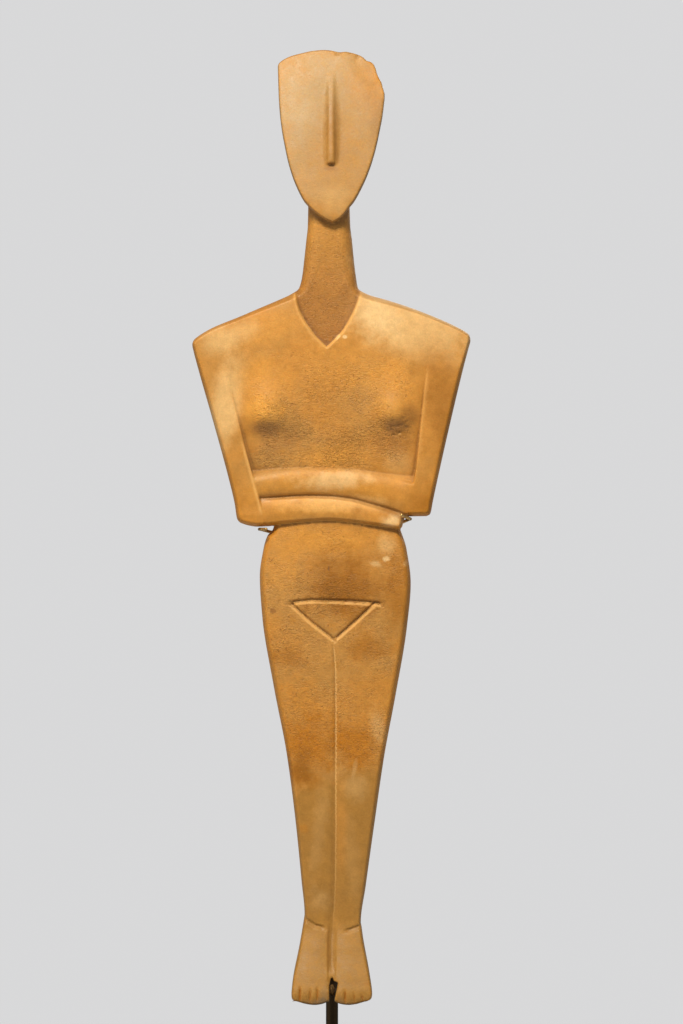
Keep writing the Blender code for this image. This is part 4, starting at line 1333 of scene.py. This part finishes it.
lit_walls_share = LIT_WALLS_ON_FEET + (1 - LIT_WALLS_ON_FEET) * above(*ABOVE_FEET)
lit_walls = lit_walls * (1 - LESS_ON_FOREARMS * on_forearms) * lit_walls_share
# The edges of the V and of the arms are worn pale, and on the V the pale rim is partly a painted
# highlight where the edge catches the light: how pale each is, how far off the edge the pale has
# its middle and how far it reaches, and the heights where it ends and starts.
WORN_AND_LIT_EDGES = (
    (in_v, 0.42, 0.7, 0.9, (292, 3), (265, 3)),
    (past_left, 0.7, 0.8, 1.0, (233, 8), (199, 3)),
    (past_right, 0.3, 0.5, 0.8, (262, 8), (220, 8)),
)
worn_and_lit_lines = np.maximum.reduce([
    pale * ramp(1 - abs(past + off) / reach) * below(*top) * above(*foot)
    for past, pale, off, reach, top, foot in WORN_AND_LIT_EDGES
])

# Painted shade and dirt fill the crease between the forearms, which opens into a dark wedge at
# the right elbow.
CREASE_HALF = ((-34.0, 0.9), (10.0, 1.4), (26.0, 2.2), (36.0, 4.0))
CREASE_SHADE_AND_DIRT, CREASE_SOFTNESS, CREASE_LOWER = 0.5, 1.3, 0.3
CREASE_FROM, CREASE_TO = (-30, 4), (37, 5)
crease_half = by_side(CREASE_HALF)
off_crease = abs(Z - forearm_gap + CREASE_LOWER * crease_half) / crease_half
in_crease = CREASE_SHADE_AND_DIRT * ramp(CREASE_SOFTNESS - off_crease)
in_crease = in_crease * ramp((X - CREASE_FROM[0]) / CREASE_FROM[1])
in_crease = in_crease * ramp((CREASE_TO[0] - X) / CREASE_TO[1])
marks = np.stack((
    (back_height - front_height) / 2,
    (blurred(front_height, within, HOLLOW_RADIUS) - front_height) * off_outline + in_crease,
    (blurred(back_height, within, HOLLOW_RADIUS) - back_height) * off_outline,
    ramp(1 - outline_inside / RIM_WIDTH) * by_height(RIM_ORANGE_BY_HEIGHT),
    into_neck * (head_inside < 0),
    in_v_behind * (head_inside < 0),
    np.maximum(lit_walls, worn_and_lit_lines),
))

final = np.empty(len(stone_mesh.vertices) * 3, np.float32)
stone_mesh.vertices.foreach_get("co", final)
final = final.reshape(-1, 3) / MM - (0, 0, TOE_LEVEL)
facing = np.empty(len(stone_mesh.vertices) * 3, np.float32)
stone_mesh.vertex_normals.foreach_get("vector", facing)
to_side, to_top = facing[::3], facing[2::3]
middle_y, low_front, low_back, rim, neck_front, neck_back, lit_and_worn = at_places(
    marks, final[:, 0], final[:, 2]
)
in_front = final[:, 1] < middle_y
hollow = np.where(in_front, low_front, low_back)
neck = np.where(in_front, neck_front, neck_back)
rim = rim * (1 - RIM_LESS_AT_SIDES * ramp((abs(to_side) - FACES_SIDE[0]) / FACES_SIDE[1]))
facing_down = ramp((FACES_DOWN[0] - to_top) / FACES_DOWN[1])
hollow = np.where(hollow < 0, hollow * (1 - facing_down), hollow)
# Painted shade with dirt on front faces that turn down, under the overhangs where shade falls.
overhung = ramp((-to_top - OVERHANGS[0]) / OVERHANGS[1]) * (final[:, 2] > OVERHANGS_FROM)
hollow = np.maximum(hollow, OVERHANG_SHADE_AND_DIRT * overhung)
# Painted highlights and worn edges lie on the front only, and keep dirt off the walls that face up.
lit_and_worn = lit_and_worn * in_front
hollow = np.where(hollow > 0, hollow * (1 - lit_and_worn), hollow)
for name, values in (("hollow", hollow), ("rim", rim), ("lit_and_worn", lit_and_worn), ("neck", neck)):
    attribute = stone_mesh.attributes.new(name, "FLOAT", "POINT")
    attribute.data.foreach_set("value", values.astype(np.float32))

# The marble's colours, from the palest worn skin to the dirt in its cuts.
CREAM = (0.70, 0.465, 0.205, 1)
CHALK = (0.80, 0.58, 0.30, 1)
SAND = (0.43, 0.240, 0.070, 1)
PEACH = (0.370, 0.235, 0.098, 1)
PINK = (0.44, 0.298, 0.152, 1)
HONEY = (0.515, 0.235, 0.042, 1)
GOLD = (0.60, 0.276, 0.044, 1)
AMBER = (0.47, 0.200, 0.024, 1)
RUSSET = (0.37, 0.148, 0.012, 1)
BROWN = (0.25, 0.105, 0.024, 1)
DIRT_AND_SHADE = (0.15, 0.068, 0.022, 1)
UMBER = (0.125, 0.062, 0.030, 1)
ORANGE_RIM = (0.53, 0.210, 0.012, 1)
RUST = (0.36, 0.140, 0.014, 1)
GREY_STAIN = (0.21, 0.145, 0.085, 1)
PINK_STAIN = (0.265, 0.165, 0.090, 1)
FOOT_SAND = (0.342, 0.172, 0.030, 1)
FACE_GOLD = (0.39, 0.196, 0.042, 1)
SHIN_SAND = (0.38, 0.190, 0.036, 1)
DEEP_AMBER = (0.305, 0.117, 0.006, 1)
LEG_ORANGE = (0.44, 0.164, 0.005, 1)
ARM_AMBER = (0.36, 0.152, 0.020, 1)
NECK_AMBER = (0.52, 0.255, 0.055, 1)
THROAT_BROWN_AND_SHADE = (0.33, 0.142, 0.028, 1)
# Pale colour of the painted highlights on walls that face up and on the lower forearm.
PALE_HIGHLIGHT = (0.84, 0.50, 0.175, 1)
# Painted highlight colour for the tops of the breasts.
HIGHLIGHT_GOLD = (0.80, 0.39, 0.060, 1)
PALE_SHIN = (0.60, 0.36, 0.130, 1)

# A stain, a worn place, a painted shade or a painted highlight on the stone: an oval with a
# ragged, soft edge.
patch, patch_in, patch_out = new_effect(
    "stain, wear and painted light patch",
    (
        ("Place", "Vector", None), ("Cloud", "Float", 0.5), ("Middle", "Vector", None),
        ("Reach", "Vector", (1, 1, 1)), ("Lean", "Vector", None), ("Raggedness", "Float", 0.5),
        ("Softness", "Float", 0.7), ("Strength", "Float", 1.0),
    ),
    (("Mask", "Float"),),
)
set_in = add_node(
    patch, "ShaderNodeMapping",
    {
        "Vector": patch_in["Place"], "Location": patch_in["Middle"],
        "Rotation": patch_in["Lean"], "Scale": patch_in["Reach"],
    },
    vector_type="TEXTURE",
).outputs["Vector"]
from_centre = add_node(patch, "ShaderNodeVectorMath", {0: set_in}, operation="LENGTH")
wander = product(patch, maths(patch, "SUBTRACT", patch_in["Cloud"], 0.5), patch_in["Raggedness"])
distance = maths(patch, "ADD", from_centre.outputs["Value"], wander)
inner = maths(patch, "SUBTRACT", 1.0, patch_in["Softness"])
covered = rising(patch, distance, 1.0, inner)
feed(patch, patch_out, {"Mask": product(patch, covered, patch_in["Strength"])})

# Four sizes of cloud in the stone: one over the size, the detail and the roughness of each. The
# bands after them give the values where something starts and ends, and its share at both ends.
CLOUDS = ((0.035, 4.0, 0.6), (0.14, 6.0, 0.62), (0.30, 5.0, 0.68), (1.5, 3.0, 0.7))
SANDY, AMBER_CLOUDS = (0.40, 0.62, 0.0, 0.6), (0.52, 0.75, 0.0, 0.6)
SHINS, SHINS_CLIMB, SHINS_RAGGED = (96.0, 88.0), 0.32, 26.0

marble, marble_tree, marble_shader = new_material("honey marble")
on_stone = millimetres(marble_tree, above=TOE_LEVEL)
sideways, depth, height = add_node(
    marble_tree, "ShaderNodeSeparateXYZ", {"Vector": on_stone}
).outputs
big_cloud, ragged_cloud, mottle, fine_grain = (
    noise(marble_tree, on_stone, *cloud) for cloud in CLOUDS
)

# Every face varies slowly between honey, sand and amber before any single stain.
skin = mixed(marble_tree, rising(marble_tree, big_cloud, *SANDY), HONEY, SAND)
skin = mixed(marble_tree, rising(marble_tree, ragged_cloud, *AMBER_CLOUDS), skin, AMBER)

# Pale shins and feet below a ragged level that climbs a little to the left leg.
off_middle = maths(marble_tree, "SUBTRACT", ragged_cloud, 0.5)
shin_level = maths(marble_tree, "SUBTRACT", height, product(marble_tree, sideways, SHINS_CLIMB))
shin_level = maths(marble_tree, "ADD", shin_level, product(marble_tree, off_middle, SHINS_RAGGED))
skin = mixed(marble_tree, rising(marble_tree, shin_level, *SHINS), skin, SHIN_SAND)

# Each patch: what it is, its middle (x, height), its reach, its lean, its colour and strength.
PATCHES = (
    ("head", (-1, 358), (40, 52), 0, PEACH, 1.0),
    ("forehead", (-9, 384), (26, 12), 0, PINK, 0.45),
    ("flake", (12.5, 375), (13, 17), 20, AMBER, 0.56),
    ("golden face", (3, 348), (22, 31), -6, FACE_GOLD, 0.90),
    ("chin", (0, 329), (10, 8), 0, CREAM, 0.22),
    # Painted shade: the right side of the face darkened, away from the light.
    ("painted shade on the right edge of the face", (20, 358), (7, 32), 12, BROWN, 0.28),
    ("left of the face", (-16, 370), (12, 22), 12, PINK, 0.75),
    # Painted shade: the nose's ridge and flanks darkened in brown.
    ("nose", (-0.4, 360), (3.8, 23), 0, BROWN, 0.32),
    # Painted shadow: a soft brown smudge under the end of the nose.
    ("painted shadow under the nose", (-0.4, 341.8), (3.4, 2.6), 0, BROWN, 0.5),
    ("left shoulder slope", (-25, 276), (20, 10), 17, GOLD, 0.6),
    ("left shoulder", (-38, 274), (12, 7), 17, CREAM, 0.46),
    ("left shoulder tip", (-47, 271), (12, 8), 10, CREAM, 0.60),
    ("upper chest", (8, 262), (28, 15), 0, GOLD, 0.5),
    ("right shoulder", (32, 278), (40, 19), -17, CREAM, 0.76),
    ("beside the neck", (17.5, 281), (16, 12), -25, CHALK, 0.60),
    ("left upper arm", (-44.5, 243), (10.5, 31), -17, CREAM, 0.82),
    ("left forearm side", (-40, 209), (9, 16), -15, AMBER, 0.5),
    ("right upper arm", (48, 238), (12, 42), 14, ARM_AMBER, 0.92),
    ("middle of the chest", (0, 243), (24, 18), 0, AMBER, 0.30),
    ("left of the chest", (-28, 254), (14, 16), 0, GOLD, 0.85),
    ("right of the chest", (24, 255), (15, 14), 0, GOLD, 0.80),
    ("under the chest", (0, 224), (19, 7), 0, GOLD, 0.85),
    ("lower right chest", (27, 221), (10, 8), -12, CREAM, 0.30),
    # Painted highlights: the tops of the breasts lit gold where they face the light.
    ("painted highlight on left breast", (-27.5, 243), (11, 8), 0, HIGHLIGHT_GOLD, 0.55),
    ("painted highlight on right breast", (24.5, 243.5), (9, 7), 0, HIGHLIGHT_GOLD, 0.22),
    # Painted shadows: umber and brown under and beside the breasts, where their mounds shade the
    # chest.
    ("painted shadow under left breast", (-27.0, 235.2), (7.5, 5.0), 0, UMBER, 0.46),
    ("painted shadow under right breast", (26.2, 236.0), (8.5, 5.2), -14, UMBER, 0.52),
    ("painted shadow beside right breast", (32, 240.5), (7, 6), -35, BROWN, 0.50),
    ("shade by left breast", (-21, 230.5), (15, 9), 14, BROWN, 0.34),
    ("shade by right breast", (26, 230.5), (14, 9), -10, BROWN, 0.40),
    ("forearms", (-2, 210), (44, 14), 4, GOLD, 0.8),
    ("upper forearm", (2, 214.4), (22, 5.0), 4, CHALK, 0.60),
    # Partly pale stone, partly a painted highlight along the lower forearm's crest, which faces the
    # light.
    ("lower forearm", (0, 204.4), (29, 4.6), 2, PALE_HIGHLIGHT, 0.55),
    ("finger ends", (25.5, 197.6), (6, 4), 0, CHALK, 0.75),
    ("right elbow", (40, 204), (12, 12), 0, RUSSET, 0.95),
    ("top of the belly", (-3, 190), (30, 9), 0, GOLD, 0.9),
    ("middle of the belly", (5, 171), (25, 19), 0, DEEP_AMBER, 1.0),
    ("left of the belly", (-20, 180), (10, 16), 0, GOLD, 0.55),
    ("right of the belly", (27, 170), (10, 24), 0, RUSSET, 0.80),
    ("white by the hip", (22.6, 188), (6, 6), 20, CREAM, 0.55),
    ("white spot", (22.2, 182.0), (1.9, 1.6), 0, CHALK, 0.75),
    ("white spot", (17.4, 180.0), (3.0, 1.8), 0, CHALK, 0.40),
    ("white spot", (30.0, 180.0), (1.6, 1.8), 0, CHALK, 0.45),
    ("dark on right thigh", (14, 146), (13, 7), 0, RUSSET, 0.85),
    ("dark on left thigh", (-18, 141.5), (12, 6), 0, RUSSET, 0.70),
    ("left thigh", (-12, 124), (13, 16), 0, ORANGE_RIM, 0.40),
    ("right thigh", (8, 124), (10, 14), 0, HONEY, 0.45),
    ("low on left thigh", (-10, 106), (18, 18), 0, LEG_ORANGE, 0.95),
    ("dark on left knee", (-14.0, 96), (12, 9.5), 6, DEEP_AMBER, 1.0),
    ("low on right thigh", (10, 107), (17, 14), 14, LEG_ORANGE, 0.92),
    ("pale by right thigh", (18.8, 113), (5.2, 11), 10, CREAM, 0.40),
    ("pale on right knee", (9.5, 88), (8, 8), 0, CREAM, 0.26),
    ("pale streak", (9.2, 96.5), (1.2, 5.0), -10, CREAM, 0.30),
    ("orange on left shin", (-11.4, 72.4), (2.6, 3.0), 0, AMBER, 0.65),
    ("orange on right shin", (3.8, 72.0), (3.6, 28.0), 0, HONEY, 0.60),
    ("pale on left shin", (-5.5, 70), (5, 26), -6, PALE_SHIN, 0.30),
    ("pale on right shin", (8.5, 58), (5, 26), 5, PALE_SHIN, 0.22),
    ("above the left ankle", (-5, 42), (8, 9), 0, PALE_SHIN, 0.55),
    ("feet", (0, 16), (26, 30), 0, FOOT_SAND, 1.0),
    ("channel's shaded side", (-1.5, 24), (1.1, 16), 0, BROWN, 0.34),
    ("toe tips", (0, -0.4), (24, 4.0), 0, PINK_STAIN, 0.75),
    ("left big toe", (-3.2, 3.8), (3.3, 6.0), 0, GREY_STAIN, 0.95),
    ("right big toe", (3.2, 3.4), (3.0, 5.2), 0, GREY_STAIN, 0.80),
    ("spot on the belly", (-24.1, 160.9), (1.6, 1.5), 0, BROWN, 0.70),
    ("tick on the belly", (-1.3, 178.0), (0.5, 1.6), 0, UMBER, 0.60),
    ("spot on the shin", (-0.8, 49.0), (1.1, 1.1), 0, BROWN, 0.60),
    ("spot on the toe", (12.3, 4.1), (1.2, 1.1), 0, RUST, 0.80),
)
NECK_PATCHES = (
    ("right of the neck", (9, 307), (4, 13), -4, CREAM, 0.35),
    ("nick", (2.4, 272.6), (1.0, 2.2), -38, CHALK, 0.85),
    ("nick", (5.3, 272.6), (1.3, 1.0), 0, CHALK, 0.85),
)
ROUGH_PATCHES = (("chest", (-2, 230), (44, 26), 0), ("belly", (2, 162), (30, 19), 0))
PATCH_FACE = -12.0
PATCH_DEPTH, PATCH_DEEPER = 6.0, 1.3
SMALL_PATCH, SMALL_RAGGEDNESS, SMALL_SOFTNESS = 3.5, 1.6, 0.6
SMOOTH_FROM, SMOOTH_RAGGEDNESS = 225, 1.0
RAGGEDNESS, SOFTNESS = 1.4, 0.8


def patch_mask(middle, reach, lean, strength=1.0):
    """Where a patch lies on the front of the stone; small ones have a finer, harder edge."""
    small = max(reach) < SMALL_PATCH
    raggedness = SMOOTH_RAGGEDNESS if middle[1] > SMOOTH_FROM else RAGGEDNESS
    return place_effect(
        marble_tree,
        patch,
        {
            "Place": on_stone,
            "Cloud": mottle if small else ragged_cloud,
            "Middle": (middle[0], PATCH_FACE, middle[1]),
            "Reach": (reach[0], max(*reach, PATCH_DEPTH) * PATCH_DEEPER, reach[1]),
            "Lean": (0, math.radians(-lean), 0),
            "Raggedness": SMALL_RAGGEDNESS if small else raggedness,
            "Softness": SMALL_SOFTNESS if small else SOFTNESS,
            "Strength": strength,
        },
    )["Mask"]


def patched(skin, patches):
    for _, middle, reach, lean, colour, strength in patches:
        skin = mixed(marble_tree, patch_mask(middle, reach, lean, strength), skin, colour)
    return skin


skin = patched(skin, PATCHES)

# The neck inside the V is brown at its foot, partly painted shade of the recess, and amber under
# the chin.
UP_THE_NECK, NECK_SHARE = (282.0, 322.0), (0.3, 0.7, 0.95, 0.7)
neck = marked(marble_tree, "neck")
neck_colour = mixed(
    marble_tree, rising(marble_tree, height, *UP_THE_NECK), THROAT_BROWN_AND_SHADE, NECK_AMBER
)
neck = product(marble_tree, neck, rising(marble_tree, ragged_cloud, *NECK_SHARE))
skin = patched(mixed(marble_tree, neck, skin, neck_colour), NECK_PATCHES)

# Mottling and fine horizontal ripples, which the rubbing left in the softer bands.
MOTTLED, RIPPLE_SHADE = (0.30, 0.70, 0.92, 1.08), (0.32, 0.64, 0.84, 1.08)
RIPPLE_SCALE, RIPPLE_STRETCH = 1.15, (0.46, 0.6, 1.0)
ROUGH_AREA_SCALE, ROUGH_AREAS = 0.055, (0.36, 0.56, 0.35, 1.0)
TRUNK_FROM, TRUNK_TO, TRUNK_SIDES = (84.0, 108.0), (276.0, 250.0), (40.0, 24.0)
FOREARMS_AT, OFF_FOREARMS = 207.0, (9.0, 14.0)
NECK_COARSE, LEAST_COARSE, ROUGH_PATCH_MORE = 0.8, 0.14, 1.3
shade = rising(marble_tree, mottle, *MOTTLED)
skin = mixed(marble_tree, 1.0, skin, shade, blend="MULTIPLY")
rippled_place = millimetres(marble_tree, above=TOE_LEVEL, stretch=RIPPLE_STRETCH)
ripples = noise(
    marble_tree, rippled_place, RIPPLE_SCALE, detail=3.0, roughness=0.55, distortion=1.5
)
rough_area = noise(marble_tree, on_stone, ROUGH_AREA_SCALE)
beside = maths(marble_tree, "ABSOLUTE", sideways)
off_forearms = maths(marble_tree, "ABSOLUTE", maths(marble_tree, "SUBTRACT", height, FOREARMS_AT))
coarse = product(
    marble_tree,
    rising(marble_tree, height, *TRUNK_FROM),
    rising(marble_tree, height, *TRUNK_TO),
    rising(marble_tree, beside, *TRUNK_SIDES),
    rising(marble_tree, off_forearms, *OFF_FOREARMS),
    rising(marble_tree, rough_area, *ROUGH_AREAS),
)
coarse = maths(marble_tree, "MAXIMUM", coarse, product(marble_tree, neck, NECK_COARSE))
coarse = maths(marble_tree, "MAXIMUM", coarse, LEAST_COARSE)
for _, middle, reach, lean in ROUGH_PATCHES:
    mask = patch_mask(middle, reach, lean)
    rougher = maths(marble_tree, "MULTIPLY_ADD", mask, ROUGH_PATCH_MORE, 1.0)
    coarse = product(marble_tree, coarse, rougher)
ripple_shade = rising(marble_tree, ripples, *RIPPLE_SHADE)
rippled = mixed(marble_tree, 1.0, skin, ripple_shade, blend="MULTIPLY")
skin = mixed(marble_tree, maths(marble_tree, "MINIMUM", coarse, 1.0), skin, rippled)

# Pits: dark flecks and a few pale ones, thickest on the trunk.
PIT_SCALE, PITTED_SPOTS, MOST_PITTED, PIT_DARKNESS = 0.95, (0.63, 0.71), 0.8, 0.45
PALE_FLECKS, GRAIN_SHADE = (0.66, 0.78, 0.0, 0.28), (0.25, 0.70, 0.93, 1.06)
pit_noise = noise(marble_tree, on_stone, PIT_SCALE, roughness=0.6)
pits = product(
    marble_tree,
    rising(marble_tree, pit_noise, *PITTED_SPOTS),
    maths(marble_tree, "MINIMUM", coarse, MOST_PITTED),
)
skin = mixed(marble_tree, product(marble_tree, pits, PIT_DARKNESS), skin, BROWN)
skin = mixed(marble_tree, rising(marble_tree, fine_grain, *PALE_FLECKS), skin, CREAM)
grain_shade = rising(marble_tree, fine_grain, *GRAIN_SHADE)
skin = mixed(marble_tree, 1.0, skin, grain_shade, blend="MULTIPLY")

# Dirt in the cuts with painted shade under overhangs and in the forearm crease, worn pale edges with
# a painted highlight along the V, painted highlights on walls that face up, and the deep orange
# painted as shade and glow where the stone turns away from the light.
RIM_SHARE, HIGHLIGHT_SHARE = 0.8, 0.72
WORN_FROM = (-0.14, -0.36)
WORN_BANDS = ((300.0, 290.0), (175.0, 190.0, 0.0, 0.4), (256.0, 264.0, 1.0, 1.5))
DIRTY, MOST_DIRT, DIRT_ON_SHINS = (0.08, 0.55), (190.0, 175.0, 0.46, 0.70), (96.0, 120.0, 0.35, 1.0)
ABOVE_TOES, DIRTY_TOES, MOST_TOE_DIRT = (9.0, 12.0), (0.02, 0.18), (0.38, 0.56, 0.35, 1.0)
hollow, rim, lit_and_worn = (marked(marble_tree, name) for name in ("hollow", "rim", "lit_and_worn"))
# Worn pale edges, which along the V are partly a painted highlight where the edge catches the light.
worn_and_lit_edge = product(
    marble_tree,
    rising(marble_tree, hollow, *WORN_FROM),
    *(rising(marble_tree, height, *band) for band in WORN_BANDS),
)
above_toes = rising(marble_tree, height, *ABOVE_TOES)
# Dirt in the cuts, with painted shade where the hollow mark carries the overhangs and the crease.
dirt_and_shade = product(
    marble_tree,
    rising(marble_tree, hollow, *DIRTY, 0.0, rising(marble_tree, height, *MOST_DIRT)),
    rising(marble_tree, height, *DIRT_ON_SHINS),
    above_toes,
)
toe_dirt = product(
    marble_tree,
    rising(marble_tree, hollow, *DIRTY_TOES, 0.0, rising(marble_tree, mottle, *MOST_TOE_DIRT)),
    maths(marble_tree, "SUBTRACT", 1.0, above_toes),
)
for share, colour in (
    (product(marble_tree, rim, RIM_SHARE), ORANGE_RIM),
    (worn_and_lit_edge, CREAM),
    # Painted highlights on walls that face up, with the worn pale edges.
    (product(marble_tree, lit_and_worn, HIGHLIGHT_SHARE), PALE_HIGHLIGHT),
    (dirt_and_shade, DIRT_AND_SHADE),
    (toe_dirt, RUST),
):
    skin = mixed(marble_tree, share, skin, colour)

# Between the thighs the line was scratched again, and shows as a thin pale thread. It fades out at
# both ends, is weaker on the shins, and lies on the front only.
THREAD_COLOUR = (0.68, 0.40, 0.14, 1)
THREAD_EDGE, THREAD_WANDERS = (0.42, 0.1), (0.3, 0.7, 0.1, 0.5)
THREAD_BANDS = ((40.0, 105.0, 0.30, 0.75), (147.0, 145.0), (28.0, 46.0, 0.25, 1.0))
THREAD_DEPTH = (0.0, -2.0)
THREAD_SPAN, SIDE_SPAN = 150.0, 10.0
thread_path = add_node(
    marble_tree, "ShaderNodeFloatCurve", {"Value": maths(marble_tree, "DIVIDE", height, THREAD_SPAN)}
)
bends = thread_path.mapping.curves[0].points
knots = [(z / THREAD_SPAN, 0.5 + x / SIDE_SPAN) for x, z in LEG_CLEFT]
bends[0].location, bends[1].location = knots[0], knots[-1]
for knot in knots[1:-1]:
    bends.new(*knot)
thread_path.mapping.update()
thread_x = maths(marble_tree, "SUBTRACT", thread_path.outputs["Value"], 0.5)
thread_x = product(marble_tree, thread_x, SIDE_SPAN)
thread_x = maths(marble_tree, "ADD", thread_x, rising(marble_tree, ripples, *THREAD_WANDERS))
off_thread = maths(marble_tree, "ABSOLUTE", maths(marble_tree, "SUBTRACT", sideways, thread_x))
thread = product(
    marble_tree,
    rising(marble_tree, off_thread, *THREAD_EDGE),
    *(rising(marble_tree, height, *band) for band in THREAD_BANDS),
    rising(marble_tree, depth, *THREAD_DEPTH),
)
skin = mixed(marble_tree, thread, skin, THREAD_COLOUR)

# Relief of the ripples, the pits and the grain in millimetres, then the gloss of the marble.
RIPPLE_HEIGHT, PIT_RELIEF, GRAIN_HEIGHT = 0.42, 0.18, 0.035
GLOSS = (0.3, 0.7, 0.42, 0.58)
relief = raised(marble_tree, ripples, RIPPLE_HEIGHT, strength=coarse)
relief = raised(marble_tree, product(marble_tree, pits, -1.0), PIT_RELIEF, normal=relief)
relief = raised(marble_tree, fine_grain, GRAIN_HEIGHT, normal=relief)
LIGHT_INTO_STONE = {
    "Specular IOR Level": 0.35, "Subsurface Weight": 0.12,
    "Subsurface Radius": (1.0, 0.45, 0.2), "Subsurface Scale": 1.5 * MM,
}
gloss = rising(marble_tree, mottle, *GLOSS)
feed(marble_tree, marble_shader.inputs, {"Base Color": skin, "Normal": relief, "Roughness": gloss})
feed(marble_tree, marble_shader.inputs, LIGHT_INTO_STONE)
stone_mesh.materials.clear()
stone_mesh.materials.append(marble)
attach(figurine, "root")
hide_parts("figurine")


# ---------------------------------------------------------------------------------------------
# Studio: a round of pale floor that melts into a pale background, a soft key light high in front
# and a little to the left, a broad weak fill, and a level camera straight in front.

FLOOR_REACH = 0.62
FLOOR_SOLID, FLOOR_GONE = 0.16, 0.9
FLOOR_SIDES = 96
PALE = (0.68, 0.725, 0.80, 1)
FLOOR_DUST = (0.60, 0.62, 0.66, 1)
BACKGROUND = (0.60, 0.60, 0.605, 1)
AMBIENT, SEEN_BACKGROUND = 0.34, 1.15
KEY_TINT = (1.0, 0.88, 0.68)
SIDE_TINT = (1.0, 0.86, 0.64)
LIGHTS = (
    ("key light", (-0.17, -0.80, 1.20), (0.30, 0.20), 19.0, KEY_TINT),
    ("side light", (-1.5, -0.6, 0.5), (0.5, 0.9), 7.0, SIDE_TINT),
    ("side light", (1.5, -0.6, 0.5), (0.5, 0.9), 2.6, SIDE_TINT),
    ("light behind", (0.5, 1.7, 0.9), (0.9, 0.9), 6.0, SIDE_TINT),
)
VIEW_LINES = 1024
MM_PER_LINE = 0.409
SENSOR = 36.0
CAMERA_AWAY, CAMERA_ASIDE, CAMERA_UP = 3.0, 0.0039, 0.2012

floor_shape = bmesh.new()
bmesh.ops.create_circle(floor_shape, cap_ends=True, radius=FLOOR_REACH, segments=FLOOR_SIDES)
floor_mesh = mesh_of(floor_shape, "floor")
floor = new_piece("floor", floor_mesh)
floor_paint, floor_tree, floor_shader = new_material("pale floor", roughness=0.75)
floor_place = millimetres(floor_tree)
floor_dust = place_effect(
    floor_tree, dusty, {"Place": floor_place, "Peel Size": 1.6, "Dust Amount": 0.1}
)
from_middle = add_node(
    floor_tree, "ShaderNodeVectorMath", {0: floor_place}, operation="LENGTH"
).outputs["Value"]
melting = rising(
    floor_tree, from_middle, FLOOR_SOLID / MM, FLOOR_REACH * FLOOR_GONE / MM, 1.0, 0.0
)
feed(floor_tree, floor_shader.inputs, {
    "Base Color": mixed(floor_tree, floor_dust["Dust"], PALE, FLOOR_DUST),
    "Normal": raised(floor_tree, floor_dust["Peel"], PEEL_HEIGHT),
    "Alpha": melting,
})
floor_mesh.materials.append(floor_paint)

world = bpy.data.worlds.new("studio")
world.use_nodes = True
air = world.node_tree
seen = add_node(air, "ShaderNodeLightPath").outputs["Is Camera Ray"]
brightness = maths(air, "ADD", AMBIENT, product(air, seen, SEEN_BACKGROUND - AMBIENT))
feed(air, air.nodes["Background"].inputs, {"Color": BACKGROUND, "Strength": brightness})
bpy.context.scene.world = world
bpy.context.scene.view_settings.view_transform = "Standard"

middle = Vector((0, 0, (stone_low.z + stone_high.z) / 2))
for name, place, size, power, tint in LIGHTS:
    lamp = bpy.data.lights.new(name, "AREA")
    lamp.shape = "RECTANGLE"
    lamp.size, lamp.size_y = size
    lamp.energy = power
    lamp.color = tint
    light = bpy.data.objects.new(name, lamp)
    light.location = place
    light.rotation_euler = (middle - Vector(place)).to_track_quat("-Z", "Y").to_euler()
    bpy.context.collection.objects.link(light)

camera_data = bpy.data.cameras.new("camera")
camera_data.sensor_width = SENSOR
camera_data.lens = SENSOR * CAMERA_AWAY / (VIEW_LINES * MM_PER_LINE * MM)
camera = bpy.data.objects.new("camera", camera_data)
camera.location = (CAMERA_ASIDE, -CAMERA_AWAY, stone_low.z + CAMERA_UP)
camera.rotation_euler = (math.radians(90), 0, 0)
bpy.context.collection.objects.link(camera)
bpy.context.scene.camera = camera
